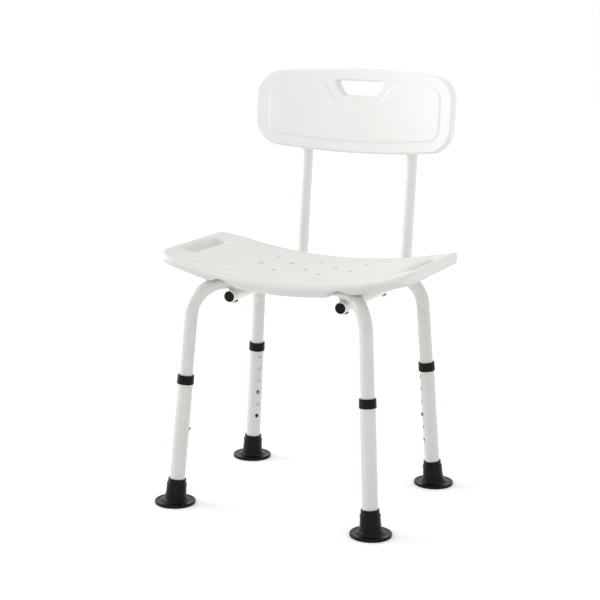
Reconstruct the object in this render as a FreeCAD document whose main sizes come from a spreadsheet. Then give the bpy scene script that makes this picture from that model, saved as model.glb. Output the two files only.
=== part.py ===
# Shower chair: a blow-moulded seat and backrest on a bolted tube frame with
# four height-adjustable legs. Millimetres, +Z up, -Y is the front of the seat,
# +X is the left hand of a person sitting in it. The origin is on the floor,
# under the middle of the chair's bounding box.
import FreeCAD, Part
import math
import os

from FreeCAD import Matrix, Placement, Rotation, Vector

doc = FreeCAD.newDocument("shower_chair")

# ---------------------------------------------------------------- dimensions
sheet = doc.addObject("Spreadsheet::Sheet", "Sheet")
CELLS = [
    # frame position
    ("shift_y", -27.71),        # moves the leg rectangle's centre so the box is centred
    # legs and cross tubes
    ("foot_radial", 254.5),     # foot centre from the leg rectangle's centre
    ("diag_deg", 39.2),         # plan angle of the diagonals
    ("splay_deg", 5.0),         # lean of each leg in its diagonal plane
    ("tube_od", 25.4),
    ("tube_wall", 1.2),
    ("cross_height", 416.3),    # axis of the crossing tubes
    ("leg_bend", 65.0),
    ("inner_end", 104.0),       # lower end of the inner leg, along the leg
    ("crimp_flat", 34.0),
    ("crimp_open", 76.0),
    # lower legs
    ("ext_od", 28.6),
    ("ext_bore", 26.3),
    ("ext_low", 11.5),
    ("ext_high", 245.0),
    ("hole_first", 92.5),
    ("hole_pitch", 25.4),
    ("hole_count", 6),
    ("hole_od", 7.5),
    ("button_step", 2),         # which hole the button is in, counted from 0
    ("button_od", 6.8),
    ("button_hole", 7.0),
    ("button_root", 8.9),
    ("button_tip", 17.4),
    ("spring_width", 8.0),
    ("spring_thick", 0.6),
    # collars
    ("collar_low", 229.5),
    ("collar_high", 246.5),
    ("collar_top_od", 31.0),
    ("collar_base_od", 31.8),
    ("collar_bore", 28.7),
    ("collar_lip", 25.7),
    # feet
    ("flange_od", 76.0),
    ("flange_rim", 5.7),
    ("neck_base_od", 39.0),
    ("neck_top_od", 33.8),
    ("neck_high", 48.0),
    ("foot_bore", 28.7),
    ("foot_seat", 10.0),
    ("disc_od", 27.6),
    ("disc_thick", 1.5),
    # back tubes
    ("rail_x", 110.3),
    ("rail_od", 22.2),
    ("rail_wall", 1.2),
    ("rail_height", 391.8),
    ("rail_front", -111.0),
    ("upright_y", 206.4),       # upright's axis at the pivot height
    ("pivot_height", 400.0),
    ("recline_deg", 5.55),
    ("rear_bend", 48.0),
    ("upright_top", 345.0),     # above the pivot, along the upright
    # seat bolts
    ("bolt_od", 6.0),
    ("bolt_hole", 6.5),
    ("bolt_top", 437.5),
    ("head_af", 10.0),
    ("head_high", 4.0),
    ("saddle_od", 14.0),
    ("saddle_thick", 1.0),
    ("spacer_od", 21.0),
    ("insert_od", 10.0),
    ("insert_high", 9.0),
    # seat
    ("seat_width", 500.0),
    ("seat_depth", 290.0),
    ("seat_corner", 46.0),
    ("seat_top", 436.0),
    ("seat_top_rad", 950.0),
    ("seat_low", 408.6),
    ("seat_low_rad", 730.7),
    ("undercut_y", 125.0),       # where the front and rear walls meet the underside
    ("undercut_slope", 0.885),
    ("seat_round", 8.0),
    ("seat_edge", 4.0),
    ("seat_wall", 2.8),
    ("panel_raise", 1.4),
    ("panel_margin", 27.0),
    ("channel_roof", 429.6),
    ("channel_width", 27.4),
    ("notch_rad", 28.0),
    ("notch_top", 427.5),
    ("slot_x", 220.0),
    ("slot_width", 28.0),
    ("slot_length", 134.0),
    ("drain_od", 10.5),
    ("drain_x", 90.0),
    ("drain_y", 38.5),
    # backrest, from the pivot and square to the reclined uprights
    ("back_low", 227.0),
    ("back_high", 391.1),
    ("back_width", 411.0),
    ("back_corner", 45.0),
    ("back_crown", 1600.0),
    ("back_front", -19.0),
    ("back_rad", 680.0),
    ("back_thick", 27.0),
    ("back_round", 7.0),
    ("back_wall", 2.6),
    ("back_panel_margin", 23.0),
    ("back_panel_side", 27.5),
    ("back_panel_raise", 1.6),
    ("socket_top", 347.0),
    ("grip_low", 339.5),
    ("grip_high", 367.4),
    ("grip_top_half", 51.0),
    ("grip_low_half", 34.5),
    ("screw_z", 300.0),
    ("screw_od", 5.0),
]
for row, (alias, value) in enumerate(CELLS, 1):
    sheet.set("A%d" % row, alias)
    sheet.set("B%d" % row, str(value))
    sheet.setAlias("B%d" % row, alias)
doc.recompute()


def cell(alias):
    return float(getattr(sheet, alias))


R = math.radians
PHI = cell("diag_deg")
SPLAY = R(cell("splay_deg"))
SHIFT = cell("shift_y")
ZX = cell("cross_height")


# ------------------------------------------------------------------- helpers
def bind(obj, **exprs):
    for prop, expr in exprs.items():
        obj.setExpression(prop, expr)
    return obj


def S(text):
    """Prefixes the sheet's name to each alias in an expression."""
    names = sorted((a for a, _ in CELLS), key=len, reverse=True)
    out, i = "", 0
    while i < len(text):
        for n in names:
            if text.startswith(n, i) and not (
                i and (text[i - 1].isalnum() or text[i - 1] == "_")
            ):
                out += "Sheet." + n
                i += len(n)
                break
        else:
            out += text[i]
            i += 1
    return out


def box(name, x, y, z, at=(0, 0, 0), rot=None):
    b = doc.addObject("Part::Box", name)
    for prop, v in (("Length", x), ("Width", y), ("Height", z)):
        if isinstance(v, str):
            b.setExpression(prop, S(v))
        else:
            setattr(b, prop, v)
    b.Placement = Placement(Vector(*at), rot or Rotation())
    return b


def cyl(name, radius, height, at=(0, 0, 0), axis=(0, 0, 1)):
    c = doc.addObject("Part::Cylinder", name)
    for prop, v in (("Radius", radius), ("Height", height)):
        if isinstance(v, str):
            c.setExpression(prop, S(v))
        else:
            setattr(c, prop, v)
    c.Placement = Placement(Vector(*at), Rotation(Vector(0, 0, 1), Vector(*axis)))
    return c


def cone(name, r1, r2, height, at=(0, 0, 0), axis=(0, 0, 1)):
    c = doc.addObject("Part::Cone", name)
    for prop, v in (("Radius1", r1), ("Radius2", r2), ("Height", height)):
        if isinstance(v, str):
            c.setExpression(prop, S(v))
        else:
            setattr(c, prop, v)
    c.Placement = Placement(Vector(*at), Rotation(Vector(0, 0, 1), Vector(*axis)))
    return c


def cut(name, base, *tools):
    tool = tools[0] if len(tools) == 1 else fuse(name + "_tools", *tools)
    c = doc.addObject("Part::Cut", name)
    c.Base, c.Tool = base, tool
    return c


def fuse(name, *parts):
    f = doc.addObject("Part::MultiFuse", name)
    f.Shapes = list(parts)
    return f


def common(name, *parts):
    out = parts[0]
    for i, p in enumerate(parts[1:]):
        c = doc.addObject("Part::Common", name if i == len(parts) - 2 else name + "_c%d" % i)
        c.Base, c.Tool = out, p
        out = c
    return out


def fillet(name, base, radius, pick):
    doc.recompute()
    f = doc.addObject("Part::Fillet", name)
    f.Base = base
    f.Edges = [(i, radius, radius) for i, e in enumerate(base.Shape.Edges, 1) if pick(e)]
    doc.recompute()
    return f


def body(name):
    b = doc.addObject("PartDesign::Body", name)
    return b


def plane(b, role):
    """One of the body's own origin planes or axes."""
    return next(f for f in b.Origin.OriginFeatures if f.Role == role)


def sketch(b, name, role):
    sk = b.newObject("Sketcher::SketchObject", name)
    sk.AttachmentSupport = [(plane(b, role), "")]
    sk.MapMode = "FlatFace"
    return sk


def circle(sk, x, y, expr, start):
    g = sk.addGeometry(Part.Circle(Vector(x, y, 0), Vector(0, 0, 1), start), False)
    import_constraint(sk, ("Coincident", g, 3, -1, 1) if (x, y) == (0, 0) else None)
    n = sk.addConstraint(Sketcher.Constraint("Radius", g, start))
    sk.setExpression("Constraints[%d]" % n, S(expr))
    return g


def import_constraint(sk, spec):
    if spec:
        sk.addConstraint(Sketcher.Constraint(*spec))


import Sketcher  # noqa: E402  (after FreeCAD and Part)


def pipe(name, path_pts, role, od, wall_out):
    """A rod swept along straight runs joined by tangent arcs, as one Body.

    path_pts: list of (x, y, bend radius) in the sketch's own plane; the first
    and the last have no bend. The rod's radius is bound to the sheet.
    """
    b = body(name)
    path = sketch(b, name + "_path", role)
    pts = [Vector(p[0], p[1], 0) for p in path_pts]
    segs, cur = [], pts[0]
    for i in range(1, len(pts) - 1):
        a, p, c = pts[i - 1], pts[i], pts[i + 1]
        r = path_pts[i][2]
        d1, d2 = (p - a).normalize(), (c - p).normalize()
        turn = d1.getAngle(d2)
        t = r * math.tan(turn / 2)
        p1, p2 = p - d1 * t, p + d2 * t
        mid = p + (d2 - d1).normalize() * (r / math.cos(turn / 2))
        angles = [math.atan2(q.y - mid.y, q.x - mid.x) for q in (p1, p2)]
        if d1.x * d2.y - d1.y * d2.x < 0:
            angles.reverse()
        if angles[1] < angles[0]:
            angles[1] += 2 * math.pi
        segs.append(Part.LineSegment(cur, p1))
        segs.append(Part.ArcOfCircle(Part.Circle(mid, Vector(0, 0, 1), r), *angles))
        cur = p2
    segs.append(Part.LineSegment(cur, pts[-1]))
    ids = [path.addGeometry(s, False) for s in segs]
    # each arc is fixed by its two ends and its radius; the runs join the arcs
    for k, i in enumerate(range(1, len(pts) - 1)):
        g = ids[2 * k + 1]
        arc = path.Geometry[g]
        ends = {1: arc.StartPoint, 2: arc.EndPoint}
        first = min(ends, key=lambda e: (ends[e] - segs[2 * k].EndPoint).Length)
        for e in (1, 2):
            path.addConstraint(Sketcher.Constraint("DistanceX", -1, 1, g, e, ends[e].x))
            path.addConstraint(Sketcher.Constraint("DistanceY", -1, 1, g, e, ends[e].y))
        path.addConstraint(Sketcher.Constraint("Coincident", ids[2 * k], 2, g, first))
        path.addConstraint(Sketcher.Constraint("Coincident", ids[2 * k + 2], 1, g, 3 - first))
        n = path.addConstraint(Sketcher.Constraint("Radius", g, path_pts[i][2]))
        path.setExpression("Constraints[%d]" % n, S(path_pts[i][3]))
    for g, end, p in ((ids[0], 1, pts[0]), (ids[-1], 2, pts[-1])):
        path.addConstraint(Sketcher.Constraint("DistanceX", -1, 1, g, end, p.x))
        path.addConstraint(Sketcher.Constraint("DistanceY", -1, 1, g, end, p.y))
    # profile, square to the first run
    d = (pts[1] - pts[0]).normalize()
    prof = b.newObject("Sketcher::SketchObject", name + "_profile")
    base = plane(b, role)
    m = {
        "XZ_Plane": lambda v: Vector(v.x, 0, v.y),
        "YZ_Plane": lambda v: Vector(0, v.x, v.y),
    }[role]
    prof.Placement = Placement(m(pts[0]), Rotation(Vector(0, 0, 1), m(d)))
    circle(prof, 0, 0, wall_out, od / 2)
    p = b.newObject("PartDesign::AdditivePipe", name + "_sweep")
    p.Profile = prof
    p.Spine = (path, ["Edge%d" % (i + 1) for i in range(len(ids))])
    b.Tip = p
    return b


def finish(obj, label, placement=None):
    obj.Label = label
    if placement is not None:
        obj.Placement = placement
    FINAL.append(obj)
    return obj


FINAL = []

# ------------------------------------------------------------- leg geometry
r0 = cell("foot_radial")


def leg_point(along):
    """Radial position and height of a point on a leg's axis, from its foot."""
    return r0 - along * math.sin(SPLAY), along * math.cos(SPLAY)


def leg_placement(sx, sy):
    """Local +Z runs up the leg, local +X faces the middle of the chair."""
    c, s = math.cos(R(PHI)), math.sin(R(PHI))
    inward = Vector(-sx * c, -sy * s, 0)
    up = inward * math.sin(SPLAY) + Vector(0, 0, math.cos(SPLAY))
    facing = inward * math.cos(SPLAY) - Vector(0, 0, math.sin(SPLAY))
    side = up.cross(facing)
    m = Matrix(
        facing.x, side.x, up.x, sx * c * r0,
        facing.y, side.y, up.y, sy * s * r0 + SHIFT,
        facing.z, side.z, up.z, 0,
        0, 0, 0, 1,
    )
    return Placement(m)


def foot_placement(sx, sy):
    """Local +Z is vertical, local +X faces the middle of the chair."""
    c, s = math.cos(R(PHI)), math.sin(R(PHI))
    return Placement(
        Vector(sx * c * r0, sy * s * r0 + SHIFT, 0),
        Rotation(Vector(0, 0, 1), math.degrees(math.atan2(-sy * s, -sx * c))),
    )


LEGS = {"front_left": (1, -1), "front_right": (-1, -1), "back_left": (1, 1), "back_right": (-1, 1)}
button_at = cell("hole_first") + cell("button_step") * cell("hole_pitch")
button_expr = "hole_first + button_step * hole_pitch"

# --------------------------------------------------------------- cross tubes
corner_r = r0 - ZX * math.tan(SPLAY)  # where the leg's axis meets the top run
end_r, end_z = leg_point(cell("inner_end"))
bolt_r = cell("rail_x") / math.cos(R(PHI))
PATH = [
    (-end_r, end_z),
    (-corner_r, ZX, cell("leg_bend"), "leg_bend"),
    (corner_r, ZX, cell("leg_bend"), "leg_bend"),
    (end_r, end_z),
]


def wedge(name, low, grow, up):
    """The flattening tool at the crossing: a flat with sloping ends."""
    b = body(name)
    sk = sketch(b, name + "_side", "XZ_Plane")
    f, o = cell("crimp_flat") / 2 + grow, cell("crimp_open") / 2 + grow
    sign = 1 if up else -1
    top = ZX + sign * 30
    slope = (o - f) / 12.7
    pts = [
        Vector(-f, low, 0),
        Vector(f, low, 0),
        Vector(f + slope * abs(top - low), top, 0),
        Vector(-f - slope * abs(top - low), top, 0),
    ]
    for i in range(4):
        sk.addGeometry(Part.LineSegment(pts[i], pts[(i + 1) % 4]), False)
    for i in range(4):
        sk.addConstraint(Sketcher.Constraint("Coincident", i, 2, (i + 1) % 4, 1))
    p = b.newObject("PartDesign::Pad", name + "_pad")
    p.Profile = sk
    p.Length = 60
    p.Midplane = True
    b.Tip = p
    return b


for tag, up, turn in (("a", True, PHI), ("b", False, -PHI)):
    # a runs front right to back left in plan, b the other diagonal
    n = "cross_" + tag
    rod = pipe(n + "_rod", PATH, "XZ_Plane", cell("tube_od"), "tube_od / 2")
    bore_path = [
        (-end_r - 8 * math.sin(SPLAY), end_z - 8 * math.cos(SPLAY)),
        PATH[1], PATH[2],
        (end_r + 8 * math.sin(SPLAY), end_z - 8 * math.cos(SPLAY)),
    ]
    bore = pipe(n + "_bore", bore_path, "XZ_Plane", cell("tube_od") - 2 * cell("tube_wall"), "tube_od / 2 - tube_wall")
    sign = 1 if up else -1
    outer = cut(n + "_flattened", rod, wedge(n + "_press", ZX, 0, up))
    inner = cut(n + "_hollow", bore, wedge(n + "_press_in", ZX - sign * cell("tube_wall"), cell("tube_wall"), up))
    holes = [
        cyl(n + "_bolt_%d" % k, "bolt_hole / 2", 60, (k * bolt_r, 0, ZX - 30))
        for k in (-1, 1)
    ]
    for k in (-1, 1):
        # button hole on the side that faces the middle of the chair
        hx, hz = leg_point(button_at)
        d = Vector(-k * math.cos(SPLAY), 0, -math.sin(SPLAY))
        holes.append(
            cyl(n + "_button_%d" % k, "button_hole / 2", 20, (k * hx, 0, hz), (d.x, d.y, d.z))
        )
    tube = cut("cross_tube_" + tag + "_tube", outer, inner, *holes)
    finish(
        tube,
        "cross_tube_" + tag,
        Placement(Vector(0, SHIFT, 0), Rotation(Vector(0, 0, 1), turn)),
    )

# ---------------------------------------------------------------- back tubes
RH = cell("rail_height")
rec = R(cell("recline_deg"))
up_y = cell("upright_y") + (RH - cell("pivot_height")) * math.tan(rec)
top_y = cell("upright_y") + cell("upright_top") * math.sin(rec)
top_z = cell("pivot_height") + cell("upright_top") * math.cos(rec)
bolt_y = cell("rail_x") * math.tan(R(PHI))
PIVOT = Vector(0, cell("upright_y") + SHIFT, cell("pivot_height"))
BACK = Rotation(Vector(1, 0, 0), -cell("recline_deg"))  # leans +Z towards +Y
back_frame = Placement(PIVOT, BACK)

for side, sx in (("left", 1), ("right", -1)):
    n = "rail_" + side
    path = [
        (cell("rail_front"), RH),
        (up_y, RH, cell("rear_bend"), "rear_bend"),
        (top_y, top_z),
    ]
    rod = pipe(n + "_rod", path, "YZ_Plane", cell("rail_od"), "rail_od / 2")
    long_path = [
        (cell("rail_front") - 5, RH),
        path[1],
        (top_y + 5 * math.sin(rec), top_z + 5 * math.cos(rec)),
    ]
    bore = pipe(n + "_bore", long_path, "YZ_Plane", cell("rail_od") - 2 * cell("rail_wall"), "rail_od / 2 - rail_wall")
    holes = [
        cyl(n + "_bolt_%d" % k, "bolt_hole / 2", 40, (0, k * bolt_y, RH - 20)) for k in (-1, 1)
    ]
    d = BACK.multVec(Vector(0, 1, 0))
    at = Vector(0, cell("upright_y"), cell("pivot_height")) + BACK.multVec(
        Vector(0, -15, cell("screw_z"))
    )
    holes.append(cyl(n + "_screw", "screw_od / 2 + 0.1", 30, (at.x, at.y, at.z), (d.x, d.y, d.z)))
    tube = cut("back_tube_" + side + "_tube", rod, bore, *holes)
    finish(tube, "back_tube_" + side, Placement(Vector(sx * cell("rail_x"), SHIFT, 0), Rotation()))

    # push-in plug at the open front end
    b = body("end_plug_" + side)
    sk = sketch(b, n + "_plug_profile", "XY_Plane")
    ri = cell("rail_od") / 2 - cell("rail_wall")
    pts = [
        (0, -12), (ri - 1.6, -12), (ri - 0.35, -10.5), (ri - 0.35, -8), (ri - 1.3, -7.4), (ri - 1.3, -5.4),
        (ri - 0.35, -4.8), (ri - 0.05, -2), (ri - 0.05, 0.3), (ri - 0.6, 1.0), (0, 1.4),
    ]
    for i in range(len(pts)):
        a, c = pts[i], pts[(i + 1) % len(pts)]
        sk.addGeometry(Part.LineSegment(Vector(a[0], a[1], 0), Vector(c[0], c[1], 0)), False)
    for i in range(len(pts)):
        sk.addConstraint(Sketcher.Constraint("Coincident", i, 2, (i + 1) % len(pts), 1))
    rv = b.newObject("PartDesign::Revolution", n + "_plug_turn")
    rv.Profile = sk
    rv.ReferenceAxis = (sk, ["V_Axis"])
    rv.Angle = 360
    b.Tip = rv
    finish(
        b,
        "end_plug_" + side,
        Placement(
            Vector(sx * cell("rail_x"), cell("rail_front") + SHIFT, RH),
            Rotation(Vector(0, 1, 0), Vector(0, -1, 0)),
        ),
    )

# --------------------------------------------- seat bolts, saddles, inserts
spots = [(sx * cell("rail_x"), sy * bolt_y + SHIFT) for sx in (1, -1) for sy in (-1, 1)]
saddle_low = RH - cell("rail_od") / 2 - cell("saddle_thick")
bolts, saddles, spacers, inserts = [], [], [], []
for k, (x, y) in enumerate(spots):
    sx, sy = (1 if x > 0 else -1), (1 if y > SHIFT else -1)
    head = doc.addObject("Part::Prism", "bolt_head_%d" % k)
    head.Polygon = 6
    bind(head, Circumradius=S("head_af / sqrt(3)"), Height=S("head_high"))
    head.Placement = Placement(Vector(x, y, saddle_low - cell("head_high")), Rotation(Vector(0, 0, 1), 11 + 17 * k))
    crown = cone("bolt_crown_%d" % k, "head_af / 2 - 1", "head_af / 2 + 3.2", 4.2, (x, y, saddle_low - cell("head_high")))
    shank = cyl("bolt_shank_%d" % k, "bolt_od / 2", cell("bolt_top") - saddle_low - 0.6, (x, y, saddle_low))
    tip = cone("bolt_tip_%d" % k, "bolt_od / 2", "bolt_od / 2 - 0.6", 0.6, (x, y, cell("bolt_top") - 0.6))
    bolts.append(fuse("bolt_%d" % k, common("bolt_head_c%d" % k, head, crown), shank, tip))
    # lower saddle: round pad hollowed to the rail
    pad = cyl("saddle_pad_%d" % k, "saddle_od / 2", 4.2, (x, y, saddle_low))
    rail = cyl("saddle_rail_%d" % k, "rail_od / 2 + 0.02", 60, (x, y - 30, RH), (0, 1, 0))
    hole = cyl("saddle_hole_%d" % k, "bolt_hole / 2", 20, (x, y, saddle_low - 5))
    saddles.append(cut("saddle_%d" % k, pad, rail, hole))
    # spacer between the two tubes, hollowed to both
    pad = cyl("spacer_pad_%d" % k, "spacer_od / 2", 12, (x, y, RH + 5.6))
    rail = cyl("spacer_rail_%d" % k, "rail_od / 2 + 0.02", 60, (x, y - 30, RH), (0, 1, 0))
    dx, dy = math.cos(R(PHI)), sx * sy * math.sin(R(PHI))
    xt = cyl("spacer_cross_%d" % k, "tube_od / 2 + 0.02", 80, (x - 40 * dx, y - 40 * dy, ZX), (dx, dy, 0))
    hole = cyl("spacer_hole_%d" % k, "bolt_hole / 2", 30, (x, y, RH))
    spacers.append(cut("spacer_%d" % k, pad, rail, xt, hole))
    # threaded insert in the roof of the seat's channel
    ins = cyl("insert_body_%d" % k, "insert_od / 2", "insert_high", (x, y, cell("channel_roof")))
    hole = cyl("insert_hole_%d" % k, "bolt_od / 2", 20, (x, y, cell("channel_roof") - 5))
    inserts.append(cut("insert_%d" % k, ins, hole))
# each group is one object of four separate solids
for label, group in (("seat_bolts", bolts), ("saddle_washers", saddles), ("tube_spacers", spacers), ("seat_inserts", inserts)):
    g = doc.addObject("Part::Compound", label + "_set")
    g.Links = group
    finish(g, label)

# --------------------------------------------------------------------- seat
W, D = cell("seat_width"), cell("seat_depth")
W2, D2 = W / 2, D / 2
RT, RB = cell("seat_top_rad"), cell("seat_low_rad")


def slab(name, top, low, inset, corner):
    """Seat blank: between two cylinders along Y, with a rounded plan."""
    b = box(
        name + "_blank", "seat_width - %g" % (2 * inset), "seat_depth - %g" % (2 * inset), 90,
        (-W2 + inset, -D2 + inset + SHIFT, 395),
    )
    f = fillet(name + "_plan", b, corner, lambda e: abs(e.BoundBox.ZLength - 90) < 1e-6)
    lower = cyl(name + "_lower", "seat_low_rad - %g" % (low - cell("seat_low")), 400, (0, -200 + SHIFT, cell("seat_low") + RB), (0, 1, 0))
    upper = cyl(name + "_upper", "seat_top_rad + %g" % (cell("seat_top") - top), 400, (0, -200 + SHIFT, cell("seat_top") + RT), (0, 1, 0))
    return cut(name + "_cut", common(name + "_in", f, lower), upper)


def top_z_at(x):
    return cell("seat_top") + RT - math.sqrt(RT * RT - x * x)


blank = slab("seat_outer", cell("seat_top"), cell("seat_low"), 0, cell("seat_corner"))


def seat_top_edge(e):
    m = e.valueAt((e.FirstParameter + e.LastParameter) / 2)
    return abs(m.z - top_z_at(m.x)) < 0.3 and e.BoundBox.DiagonalLength > 5


def low_z_at(x):
    return cell("seat_low") + RB - math.sqrt(RB * RB - x * x)


def seat_low_edge(e):
    m = e.valueAt((e.FirstParameter + e.LastParameter) / 2)
    return abs(m.z - low_z_at(m.x)) < 0.3 and e.BoundBox.DiagonalLength > 5


rounded = fillet("seat_rounded", blank, cell("seat_round"), seat_top_edge)
rounded_low = fillet("seat_rounded_low", rounded, cell("seat_edge"), seat_low_edge)


def undercut(name, solid, grow):
    """Front and rear walls lean in towards the underside: cones about the underside's axis."""
    near = cell("seat_low_rad") - cell("undercut_slope") * (D2 + 5 - cell("undercut_y")) - grow
    far = near + cell("undercut_slope") * 300
    tools = [
        cone(name + "_cone%d" % k, near, far, 300, (0, -k * (D2 + 5) + SHIFT, cell("seat_low") + RB), (0, k, 0))
        for k in (1, -1)
    ]
    return common(name, solid, *tools)


rounded2 = undercut("seat_undercut", rounded_low, 0)

# raised panel on the top
pm = cell("panel_margin")
panel_box = box("seat_panel_blank", "seat_width - 2 * panel_margin - 40", "seat_depth - 2 * panel_margin", 90, (-W2 + pm + 20, -D2 + pm + SHIFT, 395))
panel_plan = fillet("seat_panel_plan", panel_box, 24, lambda e: abs(e.BoundBox.ZLength - 90) < 1e-6)
panel_low = cyl("seat_panel_low", "seat_top_rad + 2", 400, (0, -200 + SHIFT, cell("seat_top") + RT), (0, 1, 0))
panel_high = cyl("seat_panel_high", "seat_top_rad - panel_raise", 400, (0, -200 + SHIFT, cell("seat_top") + RT), (0, 1, 0))
panel = cut("seat_panel", common("seat_panel_in", panel_plan, panel_low), panel_high)

# channels under the seat for the crossing tubes and at the rails' ends
roof = cell("channel_roof")
ch_len = 354.0


def channels(name, grow, roof_z):
    out = []
    w = cell("channel_width") / 2 + grow
    for k, a in ((0, PHI), (1, -PHI)):
        rot = Rotation(Vector(0, 0, 1), a)
        c = rot.multVec(Vector(-ch_len / 2, -w, 0))
        out.append(box(name + "_run%d" % k, ch_len, "channel_width + %g" % (2 * grow), roof_z - 380, (c.x, c.y + SHIFT, 380), rot))
        for s in (-1, 1):
            p = rot.multVec(Vector(s * ch_len / 2, 0, 0))
            out.append(cyl(name + "_end%d%d" % (k, s), "channel_width / 2 + %g" % grow, roof_z - 380, (p.x, p.y + SHIFT, 380)))
    for s in (-1, 1):
        for t in (-1, 1):
            y = min(t * 95, t * (D2 + 20))
            out.append(
                cyl(
                    name + "_notch%d%d" % (s, t), "notch_rad + %g" % grow, 70 + 0 * grow,
                    (s * cell("rail_x"), y + SHIFT, cell("notch_top") - cell("notch_rad")), (0, 1, 0),
                )
            )
    return out


# openings through the seat: a hand slot at each end and the drain holes
def slots(name, grow):
    out = []
    w, l = cell("slot_width") / 2 + grow, cell("slot_length") / 2 + grow
    for s in (-1, 1):
        b = box(name + "_b%d" % s, "slot_width + %g" % (2 * grow), "slot_length + %g" % (2 * grow), 120, (s * cell("slot_x") - w, -l + SHIFT, 390))
        out.append(fillet(name + "_f%d" % s, b, 11 + grow, lambda e: abs(e.BoundBox.ZLength - 120) < 1e-6))
    return out


dx, dy = cell("drain_x"), cell("drain_y")
drains = (
    [(s * dx / 2, y) for y in (-1.5 * dy, 0.5 * dy) for s in (-1, 1)]
    + [(s * dx, y) for y in (-0.5 * dy, 1.5 * dy) for s in (-1, 0, 1)]
)
vents = [(0, -D2 + 30), (0, D2 - 26), (186, 0), (-186, 0)]

core_slab = slab("seat_core", cell("seat_top") - cell("seat_wall"), cell("seat_low") + cell("seat_wall"), 4.2, cell("seat_corner") - 4.2)
core_blank = undercut("seat_core_undercut", core_slab, 5.2)
bosses = [cyl("seat_boss_%d" % k, 9.5, 80, (x, y, 390)) for k, (x, y) in enumerate(spots)]
tubes = [cyl("seat_drain_boss_%d" % k, "drain_od / 2 + 2.6", 80, (x, y + SHIFT, 390)) for k, (x, y) in enumerate(drains)]
core = cut("seat_hollow", core_blank, *channels("seat_core_ch", cell("seat_wall"), 470), *slots("seat_core_slot", cell("seat_wall")), *bosses, *tubes)
cuts = channels("seat_ch", 0, roof) + slots("seat_slot", 0)
cuts += [cyl("seat_drain_%d" % k, "drain_od / 2", 80, (x, y + SHIFT, 390)) for k, (x, y) in enumerate(drains)]
cuts += [
    cone("seat_drain_sink_%d" % k, "drain_od / 2 - 0.6", "drain_od / 2 + 2.4", 3.0, (x, y + SHIFT, top_z_at(x) - 1.9 + cell("panel_raise")))
    for k, (x, y) in enumerate(drains)
]
cuts += [cyl("seat_vent_%d" % k, 2.0, 20, (x, y + SHIFT, 400)) for k, (x, y) in enumerate(vents)]
cuts += [cyl("seat_insert_pocket_%d" % k, "insert_od / 2 + 0.02", "insert_high + 5", (x, y, roof - 5 )) for k, (x, y) in enumerate(spots)]
seat = cut("seat_shell_cut", fuse("seat_skin", rounded2, panel), core, *cuts)
finish(seat, "seat_shell")

# ----------------------------------------------------------------- backrest
B2 = cell("back_width") / 2
ZL, ZH = cell("back_low"), cell("back_high")
CR = cell("back_crown")
CY = cell("back_front") - cell("back_rad")  # centre of the plan curves


def board(name, inset, corner, side=None):
    """Front elevation: crowned top and bottom, round corners, cut from a block."""
    side = inset if side is None else side
    b = box(name + "_blank", "back_width - %g" % (2 * side), 200, 190, (-B2 + side, -120, ZL - 15))
    top = cyl(name + "_top", "back_crown - %g" % inset, 400, (0, -200, ZH - CR), (0, 1, 0))
    low = cyl(name + "_low", "back_crown - %g" % inset, 400, (0, -200, ZL + CR), (0, 1, 0))
    c = common(name + "_crowned", b, top, low)
    return fillet(name + "_round", c, corner, lambda e: abs(e.BoundBox.YLength - 200) < 1e-6 and e.BoundBox.DiagonalLength < 201)


def shell_band(name, front, back):
    """Between two upright cylinders on the same axis, in front of which one sits."""
    o = cyl(name + "_o", "back_rad + %g" % back, 260, (0, CY, ZL - 50))
    i = cyl(name + "_i", "back_rad + %g" % front, 260, (0, CY, ZL - 50))
    return o, i


o, i_ = shell_band("back_skin", 0, cell("back_thick"))
outer = cut("back_outer_cut", common("back_outer_in", board("back_outer", 0, cell("back_corner")), o), i_)


def on_radius(e, rad):
    pts = [e.valueAt(e.FirstParameter + (e.LastParameter - e.FirstParameter) * t) for t in (0.1, 0.5, 0.9)]
    return all(abs(math.hypot(p.x, p.y - CY) - rad) < 0.05 for p in pts)


outer_r = fillet("back_outer_round", outer, cell("back_round"), lambda e: on_radius(e, cell("back_rad")) or on_radius(e, cell("back_rad") + cell("back_thick")))


def grip(name, grow, y0, y1):
    """Hand opening: a trapezium, wider at the top, with round corners."""
    b = body(name)
    sk = sketch(b, name + "_sk", "XZ_Plane")
    t, l = cell("grip_top_half") + grow, cell("grip_low_half") + grow
    z0, z1 = cell("grip_low") - grow, cell("grip_high") + grow
    pts = [(-t, z1), (t, z1), (l, z0), (-l, z0)]
    for k in range(4):
        a, c = pts[k], pts[(k + 1) % 4]
        sk.addGeometry(Part.LineSegment(Vector(a[0], a[1], 0), Vector(c[0], c[1], 0)), False)
    for k in range(4):
        sk.addConstraint(Sketcher.Constraint("Coincident", k, 2, (k + 1) % 4, 1))
    p = b.newObject("PartDesign::Pad", name + "_pad")
    p.Profile = sk
    p.Length = 200
    p.Midplane = True
    b.Tip = p
    doc.recompute()
    f = b.newObject("PartDesign::Fillet", name + "_soft")
    names = [
        "Edge%d" % k for k, e in enumerate(p.Shape.Edges, 1)
        if abs(e.BoundBox.YLength - 200) < 1e-6
    ]
    f.Base = (p, names)
    f.Radius = 5 + grow * 0.5
    b.Tip = f
    return b


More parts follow.
